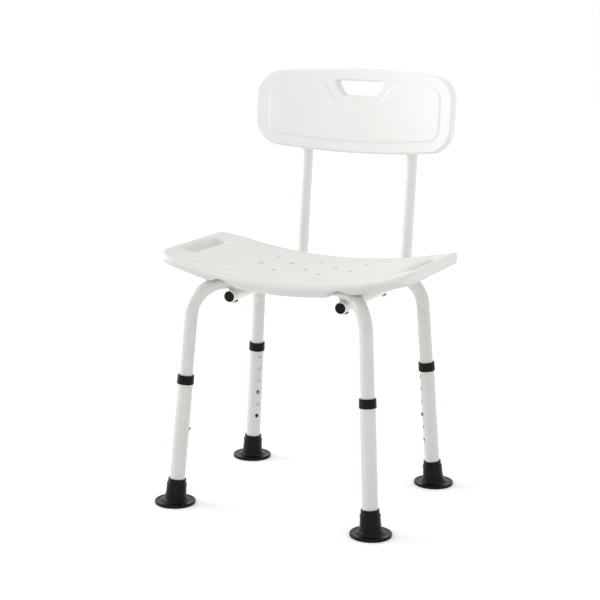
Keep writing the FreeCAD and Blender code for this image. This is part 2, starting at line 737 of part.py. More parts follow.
# raised panel with a notch round the hand opening
m = cell("back_panel_margin")
pb = board("back_panel", m, 22, cell("back_panel_side"))
po, pi = shell_band("back_panel_band", -cell("back_panel_raise"), 3)
nb = body("back_panel_notch")
sk = sketch(nb, "back_panel_notch_sk", "XZ_Plane")
pts = [(-104, 400), (104, 400), (75, 366), (45, 326.6), (-45, 326.6), (-75, 366)]
for k in range(6):
    a, c = pts[k], pts[(k + 1) % 6]
    sk.addGeometry(Part.LineSegment(Vector(a[0], a[1], 0), Vector(c[0], c[1], 0)), False)
for k in range(6):
    sk.addConstraint(Sketcher.Constraint("Coincident", k, 2, (k + 1) % 6, 1))
p = nb.newObject("PartDesign::Pad", "back_panel_notch_pad")
p.Profile = sk
p.Length = 200
p.Midplane = True
nb.Tip = p
# the pad is centred on the sketch's plane, which lies inside the board
panel = cut(
    "back_panel_cut",
    common("back_panel_in", pb, cyl("back_panel_o", "back_rad + 3", 260, (0, CY, ZL - 50))),
    cyl("back_panel_i", "back_rad - back_panel_raise", 260, (0, CY, ZL - 50)),
    nb,
)
doc.removeObject(po.Name)
doc.removeObject(pi.Name)

# hollow, round the hand opening and the sockets of the uprights
w = cell("back_wall")
co, ci = shell_band("back_core", w, cell("back_thick") - w)
core = cut("back_core_cut", common("back_core_in", board("back_core_board", 4.0, cell("back_corner") - 4.0), co), ci)
sockets, bores, pads, screw_holes, ribs = [], [], [], [], []
for s in (-1, 1):
    x = s * cell("rail_x")
    sockets.append(cyl("back_socket_%d" % s, "rail_od / 2 + 0.15 + back_wall", cell("socket_top") + w - 200, (x, 0, 200)))
    # the socket stands out of the back as a half round rib with a tapered top
    ribs.append(cyl("back_rib_%d" % s, "rail_od / 2 + 0.15 + back_wall", cell("socket_top") + w - 233, (x, 0, 233)))
    ribs.append(cone("back_rib_top_%d" % s, "rail_od / 2 + 0.15 + back_wall", 9.5, 5, (x, 0, cell("socket_top") + w)))
    bores.append(cyl("back_bore_%d" % s, "rail_od / 2 + 0.15", cell("socket_top") - 200, (x, 0, 200)))
    pads.append(cyl("back_pad_%d" % s, 8.0, 6.4, (x, 9.0, cell("screw_z")), (0, 1, 0)))
    screw_holes.append(cyl("back_screw_hole_%d" % s, "screw_od / 2 + 0.2", 30, (x, 0, cell("screw_z")), (0, 1, 0)))
    screw_holes.append(cyl("back_screw_front_%d" % s, "screw_od / 2 + 0.2", 6, (x, -cell("rail_od") / 2 - 3.6, cell("screw_z")), (0, 1, 0)))
hollow = cut("back_hollow", core, grip("back_grip_wall", w, 0, 0), *sockets, *[cyl("back_screw_boss_%d" % s, 6.5, 49, (s * cell("rail_x"), -29, cell("screw_z")), (0, 1, 0)) for s in (-1, 1)])
vent = cyl("back_vent", 2.0, 14, (0, -6, ZL - 4))
back = cut("backrest_cut", fuse("back_skin_all", outer_r, panel, *ribs, *pads), hollow, grip("back_grip", 0, 0, 0), *bores, *screw_holes, vent)
finish(back, "backrest_shell", back_frame)

# screws from behind, through each upright
screws = []
for s in (-1, 1):
    x = s * cell("rail_x")
    head = cyl("screw_head_%d" % s, 4.9, 2.0, (x, 15.4, cell("screw_z")), (0, 1, 0))
    dome = cone("screw_dome_%d" % s, 4.9, 3.6, 1.2, (x, 17.4, cell("screw_z")), (0, 1, 0))
    shank = cyl("screw_shank_%d" % s, "screw_od / 2", 28.9, (x, -13.5, cell("screw_z")), (0, 1, 0))
    slot_a = box("screw_slot_a_%d" % s, 5.0, 2.2, 1.1, (x - 2.5, 16.8, cell("screw_z") - 0.55))
    slot_b = box("screw_slot_b_%d" % s, 1.1, 2.2, 5.0, (x - 0.55, 16.8, cell("screw_z") - 2.5))
    screws.append(cut("screw_%d" % s, fuse("screw_all_%d" % s, head, dome, shank), slot_a, slot_b))
g = doc.addObject("Part::Compound", "backrest_screws_set")
g.Links = screws
finish(g, "backrest_screws", back_frame)

# --------------------------------------------------------------- lower legs
for tag, (sx, sy) in LEGS.items():
    place = leg_placement(sx, sy)
    # outer tube: ring extruded up the leg, with a row of holes facing inwards
    b = body("leg_tube_" + tag)
    sk = sketch(b, "leg_ring_" + tag, "XY_Plane")
    circle(sk, 0, 0, "ext_od / 2", cell("ext_od") / 2)
    circle(sk, 0, 0, "ext_bore / 2", cell("ext_bore") / 2)
    sk.AttachmentOffset = Placement(Vector(0, 0, cell("ext_low")), Rotation())
    sk.setExpression("AttachmentOffset.Base.z", S("ext_low"))
    pad = b.newObject("PartDesign::Pad", "leg_pad_" + tag)
    pad.Profile = sk
    pad.Length = cell("ext_high") - cell("ext_low")
    pad.setExpression("Length", S("ext_high - ext_low"))
    b.Tip = pad
    doc.recompute()
    before = b.Shape.Volume
    hs = sketch(b, "leg_hole_" + tag, "YZ_Plane")
    g = hs.addGeometry(Part.Circle(Vector(0, cell("hole_first"), 0), Vector(0, 0, 1), cell("hole_od") / 2), False)
    n1 = hs.addConstraint(Sketcher.Constraint("Radius", g, cell("hole_od") / 2))
    hs.setExpression("Constraints[%d]" % n1, S("hole_od / 2"))
    hs.addConstraint(Sketcher.Constraint("PointOnObject", g, 3, -2))
    n2 = hs.addConstraint(Sketcher.Constraint("DistanceY", -1, 1, g, 3, cell("hole_first")))
    hs.setExpression("Constraints[%d]" % n2, S("hole_first"))
    pk = b.newObject("PartDesign::Pocket", "leg_pocket_" + tag)
    pk.Profile = hs
    pk.Length = 20
    pk.Reversed = True
    b.Tip = pk
    doc.recompute()
    # the pocket must open the +X wall only
    probe = b.Shape.common(Part.makeBox(20, 4, 4, Vector(0, -2, cell("hole_first") - 2)))
    if not b.Shape.Volume < before - 1 or probe.Volume > 1.0:
        pk.Reversed = False
        doc.recompute()
        probe = b.Shape.common(Part.makeBox(20, 4, 4, Vector(0, -2, cell("hole_first") - 2)))
    assert b.Shape.Volume < before - 1 and probe.Volume < 1.0, "leg holes face the wrong way"
    pat = b.newObject("PartDesign::LinearPattern", "leg_holes_" + tag)
    pat.Originals = [pk]
    pat.Direction = (plane(b, "Z_Axis"), [""])
    pat.Length = cell("hole_pitch") * (cell("hole_count") - 1)
    pat.setExpression("Length", S("hole_pitch * (hole_count - 1)"))
    pat.Occurrences = int(cell("hole_count"))
    pat.setExpression("Occurrences", S("hole_count"))
    b.Tip = pat
    finish(b, "leg_tube_" + tag, place)

    # collar on the top end of the lower leg
    b = body("collar_" + tag)
    sk = sketch(b, "collar_profile_" + tag, "XZ_Plane")
    lo, hi = cell("collar_low"), cell("collar_high")
    rb, rt, bo, li = (cell(k) / 2 for k in ("collar_base_od", "collar_top_od", "collar_bore", "collar_lip"))
    at = lambda z: rb + (rt - rb) * (z - lo) / (hi - lo)
    pts = [(bo, lo), (rb - 0.5, lo), (at(lo + 0.6), lo + 0.6)]
    for z in (lo + 4.4, lo + 8.0, lo + 11.6):
        pts += [(at(z - 0.5), z - 0.5), (at(z) - 0.35, z), (at(z + 0.5), z + 0.5)]
    pts += [(at(hi - 1.0), hi - 1.0), (rt - 1.0, hi), (li, hi), (li, cell("ext_high")), (bo, cell("ext_high"))]
    for k in range(len(pts)):
        a, c = pts[k], pts[(k + 1) % len(pts)]
        sk.addGeometry(Part.LineSegment(Vector(a[0], a[1], 0), Vector(c[0], c[1], 0)), False)
    for k in range(len(pts)):
        sk.addConstraint(Sketcher.Constraint("Coincident", k, 2, (k + 1) % len(pts), 1))
    rv = b.newObject("PartDesign::Revolution", "collar_turn_" + tag)
    rv.Profile = sk
    rv.ReferenceAxis = (sk, ["V_Axis"])
    rv.Angle = 360
    b.Tip = rv
    finish(b, "collar_" + tag, place)

    # rubber foot: level flange, neck leaning with the leg
    b = body("foot_" + tag)
    sk = sketch(b, "foot_flange_" + tag, "XZ_Plane")
    fr, rim = cell("flange_od") / 2, cell("flange_rim")
    pts = [
        (0, 2.4), (10, 2.4), (11, 1.2), (14, 1.2), (15, 2.4), (21, 2.4), (22, 1.2), (25, 1.2), (26, 2.4),
        (31.5, 2.4), (33, 0), (36.8, 0), (fr, 1.0), (fr, rim - 1.1), (fr - 0.9, rim),
        (35.6, rim + 0.3), (33.5, rim), (31, rim - 0.4), (27.5, rim - 0.3), (24.6, rim + 0.7), (22.6, rim + 2.5),
        (21.2, rim + 4.9), (20.4, rim + 8.5), (19.8, rim + 11.7), (0, rim + 11.7),
    ]
    for k in range(len(pts)):
        a, c = pts[k], pts[(k + 1) % len(pts)]
        sk.addGeometry(Part.LineSegment(Vector(a[0], a[1], 0), Vector(c[0], c[1], 0)), False)
    for k in range(len(pts)):
        sk.addConstraint(Sketcher.Constraint("Coincident", k, 2, (k + 1) % len(pts), 1))
    rv = b.newObject("PartDesign::Revolution", "foot_flange_turn_" + tag)
    rv.Profile = sk
    rv.ReferenceAxis = (sk, ["V_Axis"])
    rv.Angle = 360
    b.Tip = rv
    doc.recompute()
    # neck and bore turn about the leg's own axis, which leans in the XZ plane
    c, s = math.cos(SPLAY), math.sin(SPLAY)
    lean = lambda rr, zz: Vector(rr * c + zz * s, -rr * s + zz * c, 0)
    for kind, prof in (
        ("PartDesign::Revolution", [
            (0, 8), (cell("neck_base_od") / 2, 8), (cell("neck_base_od") / 2 - 0.6, 15), (cell("neck_top_od") / 2 + 0.9, 34),
            (cell("neck_top_od") / 2 + 0.9, 38), (cell("neck_top_od") / 2, 39.5), (cell("neck_top_od") / 2, cell("neck_high") - 1.2),
            (cell("neck_top_od") / 2 - 1.2, cell("neck_high")), (0, cell("neck_high")),
        ]),
        ("PartDesign::Groove", [(0, cell("foot_seat")), (cell("foot_bore") / 2, cell("foot_seat")), (cell("foot_bore") / 2, 60), (0, 60)]),
    ):
        nm = kind.split("::")[1].lower() + "_" + tag
        sk = sketch(b, "foot_sk_" + nm, "XZ_Plane")
        q = [lean(*p) for p in prof]
        for k in range(len(q)):
            sk.addGeometry(Part.LineSegment(q[k], q[(k + 1) % len(q)]), False)
        for k in range(len(q)):
            sk.addConstraint(Sketcher.Constraint("Coincident", k, 2, (k + 1) % len(q), 1))
        ax = sk.addGeometry(Part.LineSegment(lean(0, -10), lean(0, 70)), True)
        f = b.newObject(kind, "foot_" + nm)
        f.Profile = sk
        f.ReferenceAxis = (sk, ["Axis0"])
        f.Angle = 360
        before = b.Shape.Volume
        b.Tip = f
        doc.recompute()
        gained = b.Shape.Volume - before
        assert (gained > 100) == (kind == "PartDesign::Revolution"), "foot feature had no effect"
    finish(b, "foot_" + tag, foot_placement(sx, sy))

    # steel disc at the bottom of the foot's bore, under the tube
    d = cyl("foot_disc_" + tag, "disc_od / 2", "disc_thick")
    finish(d, "foot_disc_" + tag, place.multiply(Placement(Vector(0, 0, cell("foot_seat")), Rotation())))

    # snap button: a headed pin pushed out through both tubes
    b = body("snap_button_" + tag)
    sk = sketch(b, "button_profile_" + tag, "XZ_Plane")
    rr, x0, x1 = cell("button_od") / 2, cell("button_root"), cell("button_tip")
    dome = 2.2
    arc_r = (rr * rr + dome * dome) / (2 * dome)
    a0 = math.asin(rr / arc_r)
    pts = [(x0, 0), (x0, 4.6), (x0 + 1.0, 4.6), (x0 + 1.0, rr), (x1 - dome, rr)]
    for k in range(1, 6):
        a = a0 * (1 - k / 5.0)
        pts.append((x1 - arc_r + arc_r * math.cos(a), arc_r * math.sin(a)))
    for k in range(len(pts)):
        a, c2 = pts[k], pts[(k + 1) % len(pts)]
        sk.addGeometry(Part.LineSegment(Vector(a[0], a[1], 0), Vector(c2[0], c2[1], 0)), False)
    for k in range(len(pts)):
        sk.addConstraint(Sketcher.Constraint("Coincident", k, 2, (k + 1) % len(pts), 1))
    rv = b.newObject("PartDesign::Revolution", "button_turn_" + tag)
    rv.Profile = sk
    rv.ReferenceAxis = (sk, ["H_Axis"])
    rv.Angle = 360
    b.Tip = rv
    finish(b, "snap_button_" + tag, place.multiply(Placement(Vector(0, 0, button_at), Rotation())))

    # its spring: a folded strip inside the inner tube
    b = body("button_spring_" + tag)
    sk = sketch(b, "spring_side_" + tag, "XZ_Plane")
    t = cell("spring_thick")
    out = [(x0, -7.5), (x0, 8.0), (1.2, 46.0), (-1.2, 47.2), (-3.4, 46.0), (-10.5, 8.0), (-10.5, -6.0)]
    ins = [(-10.5 + t, -6.0), (-10.5 + t, 7.9), (-2.9, 45.6), (-1.2, 46.5), (0.75, 45.6), (x0 - t, 7.9), (x0 - t, -7.5)]
    pts = out + ins
    for k in range(len(pts)):
        a, c2 = pts[k], pts[(k + 1) % len(pts)]
        sk.addGeometry(Part.LineSegment(Vector(a[0], a[1], 0), Vector(c2[0], c2[1], 0)), False)
    for k in range(len(pts)):
        sk.addConstraint(Sketcher.Constraint("Coincident", k, 2, (k + 1) % len(pts), 1))
    pad = b.newObject("PartDesign::Pad", "spring_pad_" + tag)
    pad.Profile = sk
    pad.Length = cell("spring_width")
    pad.setExpression("Length", S("spring_width"))
    pad.Midplane = True
    b.Tip = pad
    finish(b, "button_spring_" + tag, place.multiply(Placement(Vector(0, 0, button_at), Rotation())))

# ------------------------------------------------------------ check and save
doc.recompute()
bad = [o.Name for o in doc.Objects if {"Invalid", "Error"} & set(o.State)]
assert not bad, "failed objects: %s" % bad
os.makedirs("parts", exist_ok=True)
for o in FINAL:
    shape = o.Shape
    assert not shape.isNull() and shape.isValid() and shape.Solids, o.Label + " is not valid"
for o in FINAL:
    o.Shape.exportStep("parts/%s.step" % o.Label)
    bb = o.Shape.BoundBox
    print("%-26s solids %d  vol %9.1f  x %.1f..%.1f y %.1f..%.1f z %.1f..%.1f" % (
        o.Label, len(o.Shape.Solids), o.Shape.Volume, bb.XMin, bb.XMax, bb.YMin, bb.YMax, bb.ZMin, bb.ZMax))
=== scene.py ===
import math

import bmesh
import bpy
import numpy as np
from mathutils import Matrix, Vector
from mathutils.geometry import delaunay_2d_cdt


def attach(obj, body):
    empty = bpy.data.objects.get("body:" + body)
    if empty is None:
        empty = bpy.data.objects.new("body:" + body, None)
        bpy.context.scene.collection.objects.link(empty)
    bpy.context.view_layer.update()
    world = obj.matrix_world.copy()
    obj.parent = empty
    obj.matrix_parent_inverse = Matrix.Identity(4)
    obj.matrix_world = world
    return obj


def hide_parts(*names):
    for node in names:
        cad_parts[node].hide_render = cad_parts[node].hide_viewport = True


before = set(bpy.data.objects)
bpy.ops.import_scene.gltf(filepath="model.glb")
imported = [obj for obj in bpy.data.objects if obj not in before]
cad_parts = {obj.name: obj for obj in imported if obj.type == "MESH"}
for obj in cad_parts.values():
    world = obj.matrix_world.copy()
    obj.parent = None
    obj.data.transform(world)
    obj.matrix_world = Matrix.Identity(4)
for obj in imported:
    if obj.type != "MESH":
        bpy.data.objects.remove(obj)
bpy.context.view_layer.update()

# Shower chair. Lengths below are in millimetres until a mesh is made; "leg
# centred" means that y = 0 is the middle of the leg rectangle, and SH moves it
# to the row frame. +X is the sitter's left, -Y the front, +Z up.
MM = 0.001
SH = -27.71
PHI = math.radians(39.2)
SPLAY = math.radians(5.0)
CP, SP = math.cos(PHI), math.sin(PHI)
FOOT_R = 254.5
ZX = 416.3
RAIL_X = 110.3
RAIL_Z = 391.8
BOLT_Y = RAIL_X * math.tan(PHI)
LEGS = {"front_left": (1, -1), "front_right": (-1, -1), "back_left": (1, 1), "back_right": (-1, 1)}
BUTTON_AT = 92.5 + 2 * 25.4
REC = math.radians(5.55)
PIVOT = np.array((0.0, 206.4 + SH, 400.0))


# =============================================================== materials
def nodes_of(name):
    mat = bpy.data.materials.new(name)
    mat.use_nodes = True
    nt = mat.node_tree
    nt.nodes.clear()
    out = nt.nodes.new("ShaderNodeOutputMaterial")
    bsdf = nt.nodes.new("ShaderNodeBsdfPrincipled")
    nt.links.new(bsdf.outputs[0], out.inputs[0])
    tc = nt.nodes.new("ShaderNodeTexCoord")
    return mat, nt, bsdf, tc.outputs["Object"]


def noise(nt, vec, scale, detail=2.0, rough=0.5, distort=0.0):
    n = nt.nodes.new("ShaderNodeTexNoise")
    n.inputs["Scale"].default_value = scale
    n.inputs["Detail"].default_value = detail
    n.inputs["Roughness"].default_value = rough
    n.inputs["Distortion"].default_value = distort
    nt.links.new(vec, n.inputs["Vector"])
    return n.outputs["Fac"]


def remap(nt, value, a, b, lo, hi):
    m = nt.nodes.new("ShaderNodeMapRange")
    m.interpolation_type = "SMOOTHSTEP"
    for key, v in (("From Min", a), ("From Max", b), ("To Min", lo), ("To Max", hi)):
        m.inputs[key].default_value = v
    nt.links.new(value, m.inputs["Value"])
    return m.outputs["Result"]


def math_node(nt, op, a, b):
    m = nt.nodes.new("ShaderNodeMath")
    m.operation = op
    for k, v in enumerate((a, b)):
        if isinstance(v, (int, float)):
            m.inputs[k].default_value = v
        else:
            nt.links.new(v, m.inputs[k])
    return m.outputs[0]


def blend_colour(nt, fac, c1, c2):
    m = nt.nodes.new("ShaderNodeMix")
    m.data_type = "RGBA"
    for sock, c in ((m.inputs["A"], c1), (m.inputs["B"], c2)):
        if isinstance(c, tuple):
            sock.default_value = (*c, 1.0)
        else:
            nt.links.new(c, sock)
    if isinstance(fac, (int, float)):
        m.inputs["Factor"].default_value = fac
    else:
        nt.links.new(fac, m.inputs["Factor"])
    return m.outputs["Result"]


def bump(nt, height, distance, strength, normal=None):
    b = nt.nodes.new("ShaderNodeBump")
    b.inputs["Distance"].default_value = distance
    b.inputs["Strength"].default_value = strength
    nt.links.new(height, b.inputs["Height"])
    if normal is not None:
        nt.links.new(normal, b.inputs["Normal"])
    return b.outputs["Normal"]


def moulded(name, tone, shade, underside_shade=1.0):
    """Blow-moulded polyethylene: fine leather-like grain over slow waviness."""
    mat, nt, p, vec = nodes_of(name)
    slow = noise(nt, vec, 7.0, 2.0, 0.5)
    col = blend_colour(nt, remap(nt, slow, 0.35, 0.65, 0.0, 1.0), tone, shade)
    speck = noise(nt, vec, 420.0, 3.0, 0.6)
    col = blend_colour(nt, remap(nt, speck, 0.30, 0.70, 0.10, 0.0), col, tuple(c * 0.86 for c in tone))
    if underside_shade < 1.0:
        # painted shade: base colour darkened on the faces that look down, for the shade underneath
        geo, part = nt.nodes.new("ShaderNodeNewGeometry"), nt.nodes.new("ShaderNodeSeparateXYZ")
        nt.links.new(geo.outputs["True Normal"], part.inputs[0])
        col = blend_colour(nt, remap(nt, part.outputs["Z"], -0.62, 0.05, 1.0, 0.0), col, tuple(c * underside_shade for c in tone))
    nt.links.new(col, p.inputs["Base Color"])
    nt.links.new(remap(nt, noise(nt, vec, 55.0, 3.0, 0.6), 0.3, 0.7, 0.40, 0.54), p.inputs["Roughness"])
    wave = bump(nt, noise(nt, vec, 16.0, 1.0, 0.4), 0.0012, 0.16)
    grain = bump(nt, noise(nt, vec, 1150.0, 2.0, 0.55), 0.00018, 0.30, wave)
    nt.links.new(grain, p.inputs["Normal"])
    p.inputs["Subsurface Weight"].default_value = 0.10
    p.inputs["Subsurface Radius"].default_value = (0.0045, 0.0040, 0.0034)
    p.inputs["Subsurface Scale"].default_value = 1.0
    p.inputs["Specular IOR Level"].default_value = 0.42
    return mat


def coated(name, tone, shade):
    """Powder coat: orange peel, slightly soft gloss."""
    mat, nt, p, vec = nodes_of(name)
    slow = noise(nt, vec, 11.0, 2.0, 0.5)
    col = blend_colour(nt, remap(nt, slow, 0.35, 0.65, 0.0, 1.0), tone, shade)
    fleck = noise(nt, vec, 260.0, 2.0, 0.5)
    col = blend_colour(nt, remap(nt, fleck, 0.66, 0.74, 0.0, 0.035), col, (0.50, 0.50, 0.48))
    nt.links.new(col, p.inputs["Base Color"])
    nt.links.new(remap(nt, noise(nt, vec, 90.0, 2.0, 0.5), 0.3, 0.7, 0.26, 0.30), p.inputs["Roughness"])
    peel = bump(nt, noise(nt, vec, 700.0, 1.5, 0.45), 0.00010, 0.09)
    nt.links.new(peel, p.inputs["Normal"])
    p.inputs["Specular IOR Level"].default_value = 0.5
    p.inputs["Coat Weight"].default_value = 0.40
    p.inputs["Coat Roughness"].default_value = 0.14
    return mat


def dark(name, tone, dust, rough, grain, depth, strength, dusty, level):
    """Black plastic or rubber: fine grain, with a thin pale film here and there."""
    mat, nt, p, vec = nodes_of(name)
    film = noise(nt, vec, 46.0, 4.0, 0.62)
    fine = noise(nt, vec, 700.0, 2.0, 0.5)
    amount = math_node(nt, "MULTIPLY", remap(nt, film, 0.42, 0.72, 0.0, dusty), remap(nt, fine, 0.3, 0.7, 0.4, 1.0))
    col = blend_colour(nt, amount, tone, dust)
    nt.links.new(col, p.inputs["Base Color"])
    nt.links.new(remap(nt, film, 0.3, 0.7, rough - 0.06, rough + 0.08), p.inputs["Roughness"])
    nt.links.new(bump(nt, noise(nt, vec, grain, 2.0, 0.5), depth, strength), p.inputs["Normal"])
    p.inputs["Specular IOR Level"].default_value = level
    return mat


def plated(name, tone, warm):
    """Zinc-plated steel: mottled passivation and fine drawn lines."""
    mat, nt, p, vec = nodes_of(name)
    col = blend_colour(nt, remap(nt, noise(nt, vec, 130.0, 3.0, 0.6), 0.35, 0.65, 0.0, 1.0), tone, warm)
    nt.links.new(col, p.inputs["Base Color"])
    p.inputs["Metallic"].default_value = 1.0
    nt.links.new(remap(nt, noise(nt, vec, 420.0, 3.0, 0.6), 0.3, 0.7, 0.24, 0.40), p.inputs["Roughness"])
    nt.links.new(bump(nt, noise(nt, vec, 1500.0, 2.0, 0.5), 0.00008, 0.3), p.inputs["Normal"])
    return mat


# painted light and shade: the backrest is the seat's polyethylene in a lighter tone, for the brighter light on it; the
# last argument sets the painted shade on faces that look down
SEAT = moulded("polyethylene_seat", (0.745, 0.760, 0.728), (0.730, 0.742, 0.705), 0.80)
BACKREST = moulded("polyethylene_backrest", (0.860, 0.880, 0.868), (0.845, 0.856, 0.835), 0.86)
COAT = coated("powder_coat_white", (0.625, 0.645, 0.612), (0.610, 0.625, 0.592))
# painted light: the back frame's powder coat is a lighter copy of the legs' coat, for the brighter light on the back
# frame
COAT_BACK = coated("powder_coat_back_frame", (0.770, 0.785, 0.755), (0.755, 0.765, 0.735))
BLACK = dark("black_plastic", (0.005, 0.005, 0.0054), (0.018, 0.018, 0.018), 0.27, 1500.0, 0.00008, 0.22, 0.18, 0.13)
RUBBER = dark("foot_rubber", (0.004, 0.004, 0.004), (0.020, 0.019, 0.018), 0.26, 900.0, 0.00008, 0.22, 0.20, 0.14)
STEEL = plated("zinc_plated_steel", (0.72, 0.73, 0.74), (0.76, 0.74, 0.69))
# painted shade: the spring steel gets a dark tone, for the dark spots that the shaded buttons make in the holes
STEEL_DARKENED_FOR_SHADE = plated("spring_steel_painted_shade", (0.26, 0.26, 0.27), (0.20, 0.195, 0.19))
NYLON = moulded("natural_nylon", (0.66, 0.67, 0.64), (0.62, 0.625, 0.59))


# ============================================================ mesh helpers
def to_mesh(name, verts, faces, normals=None, sharp_deg=None):
    """verts in metres; smooth shading, with exact vertex normals if given."""
    me = bpy.data.meshes.new(name)
    me.from_pydata([tuple(v) for v in verts], [], [tuple(int(i) for i in f) for f in faces])
    me.validate()
    me.update()
    me.shade_smooth()
    if sharp_deg is not None:
        me.set_sharp_from_angle(angle=math.radians(sharp_deg))
    if normals is not None:
        me.normals_split_custom_set_from_vertices([tuple(n) for n in normals])
    ob = bpy.data.objects.new(name, me)
    bpy.context.scene.collection.objects.link(ob)
    return ob


def clean(ob, merge=2e-6, outward=True):
    bm = bmesh.new()
    bm.from_mesh(ob.data)
    bmesh.ops.remove_doubles(bm, verts=bm.verts, dist=merge)
    if outward:
        bmesh.ops.recalc_face_normals(bm, faces=bm.faces)
    bm.to_mesh(ob.data)
    bm.free()
    ob.data.update()
    return ob


def shade(ob, deg):
    ob.data.shade_smooth()
    ob.data.set_sharp_from_angle(angle=math.radians(deg))
    return ob


def fit(ob, mat, slot, body, *nodes):
    ob.data.materials.clear()
    ob.data.materials.append(mat)
    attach(ob, body)
    if nodes:
        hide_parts(*nodes)
    return ob


def leg_matrix(sx, sy):
    """Local +Z up the leg from the floor, local +X towards the chair's middle."""
    inward = np.array((-sx * CP, -sy * SP, 0.0))
    up = inward * math.sin(SPLAY) + np.array((0, 0, math.cos(SPLAY)))
    facing = inward * math.cos(SPLAY) - np.array((0, 0, math.sin(SPLAY)))
    side = np.cross(up, facing)
    m = np.eye(4)
    m[:3, 0], m[:3, 1], m[:3, 2] = facing, side, up
    m[:3, 3] = (sx * CP * FOOT_R, sy * SP * FOOT_R + SH, 0.0)
    return m


def foot_matrix(sx, sy):
    inward = np.array((-sx * CP, -sy * SP, 0.0))
    m = np.eye(4)
    m[:3, 0] = inward
    m[:3, 1] = np.cross((0, 0, 1.0), inward)
    m[:3, 3] = (sx * CP * FOOT_R, sy * SP * FOOT_R + SH, 0.0)
    return m


def moved(points, m):
    """Millimetre points through a 4x4, out in metres."""
    p = np.asarray(points, float)
    return (p @ m[:3, :3].T + m[:3, 3]) * MM


def lathe(name, profile, m, seg=96, sharp=32.0, closed=True):
    """Turned piece about local +Z. profile: (radius, height) pairs, closed loop unless told."""
    prof = list(profile)
    verts, rows, faces = [], [], []
    for r, z in prof:
        if r < 1e-9:
            rows.append([len(verts)] * seg)
            verts.append((0.0, 0.0, z))
        else:
            rows.append([len(verts) + k for k in range(seg)])
            verts += [(r * math.cos(2 * math.pi * k / seg), r * math.sin(2 * math.pi * k / seg), z) for k in range(seg)]
    n = len(rows)
    for i in range(n if closed else n - 1):
        a, b = rows[i], rows[(i + 1) % n]
        for k in range(seg):
            q = [a[k], a[(k + 1) % seg], b[(k + 1) % seg], b[k]]
            q = [v for j, v in enumerate(q) if v != q[j - 1]]
            if len(set(q)) >= 3:
                faces.append(q)
    ob = to_mesh(name, moved(verts, m), faces)
    clean(ob)
    return shade(ob, sharp)


def rounded(points, radius, steps=4):
    """A closed profile with each corner rounded by up to that radius."""
    out, n = [], len(points)
    for i in range(n):
        p0, p, p1 = (np.array(points[j % n], float) for j in (i - 1, i, i + 1))
        r = radius if not isinstance(radius, dict) else radius.get(i, 0.0)
        a, b = p0 - p, p1 - p
        la, lb = np.linalg.norm(a), np.linalg.norm(b)
        if r <= 0 or la < 1e-9 or lb < 1e-9 or p[0] < 1e-9:
            out.append(tuple(p))
            continue
        a, b = a / la, b / lb
        cosang = float(np.clip(a @ b, -1, 1))
        half = math.acos(cosang) / 2
        if math.pi / 2 - half < 0.03:
            out.append(tuple(p))
            continue
        t = min(r / math.tan(half), la * 0.45, lb * 0.45)
        s, e = p + a * t, p + b * t
        for k in range(steps + 1):
            u = k / steps
            q = s * (1 - u) ** 2 + p * 2 * u * (1 - u) + e * u * u
            out.append((float(q[0]), float(q[1])))
    return out


# ---------------------------------------------- implicit shapes and meshing
def ri(a, b, r):
    """Rounded intersection of two distances."""
    return np.minimum(np.maximum(a, b), -r) + np.hypot(np.maximum(a + r, 0), np.maximum(b + r, 0))


def ru(a, b, r):
    """Union with a fillet."""
    return np.maximum(np.minimum(a, b), r) - np.hypot(np.maximum(r - a, 0), np.maximum(r - b, 0))


def step(t):
    t = np.clip(t, 0, 1)
    return t * t * (3 - 2 * t)


def rrect(x, y, hx, hy, r):
    qx, qy = np.abs(x) - hx + r, np.abs(y) - hy + r
    return np.hypot(np.maximum(qx, 0), np.maximum(qy, 0)) + np.minimum(np.maximum(qx, qy), 0) - r


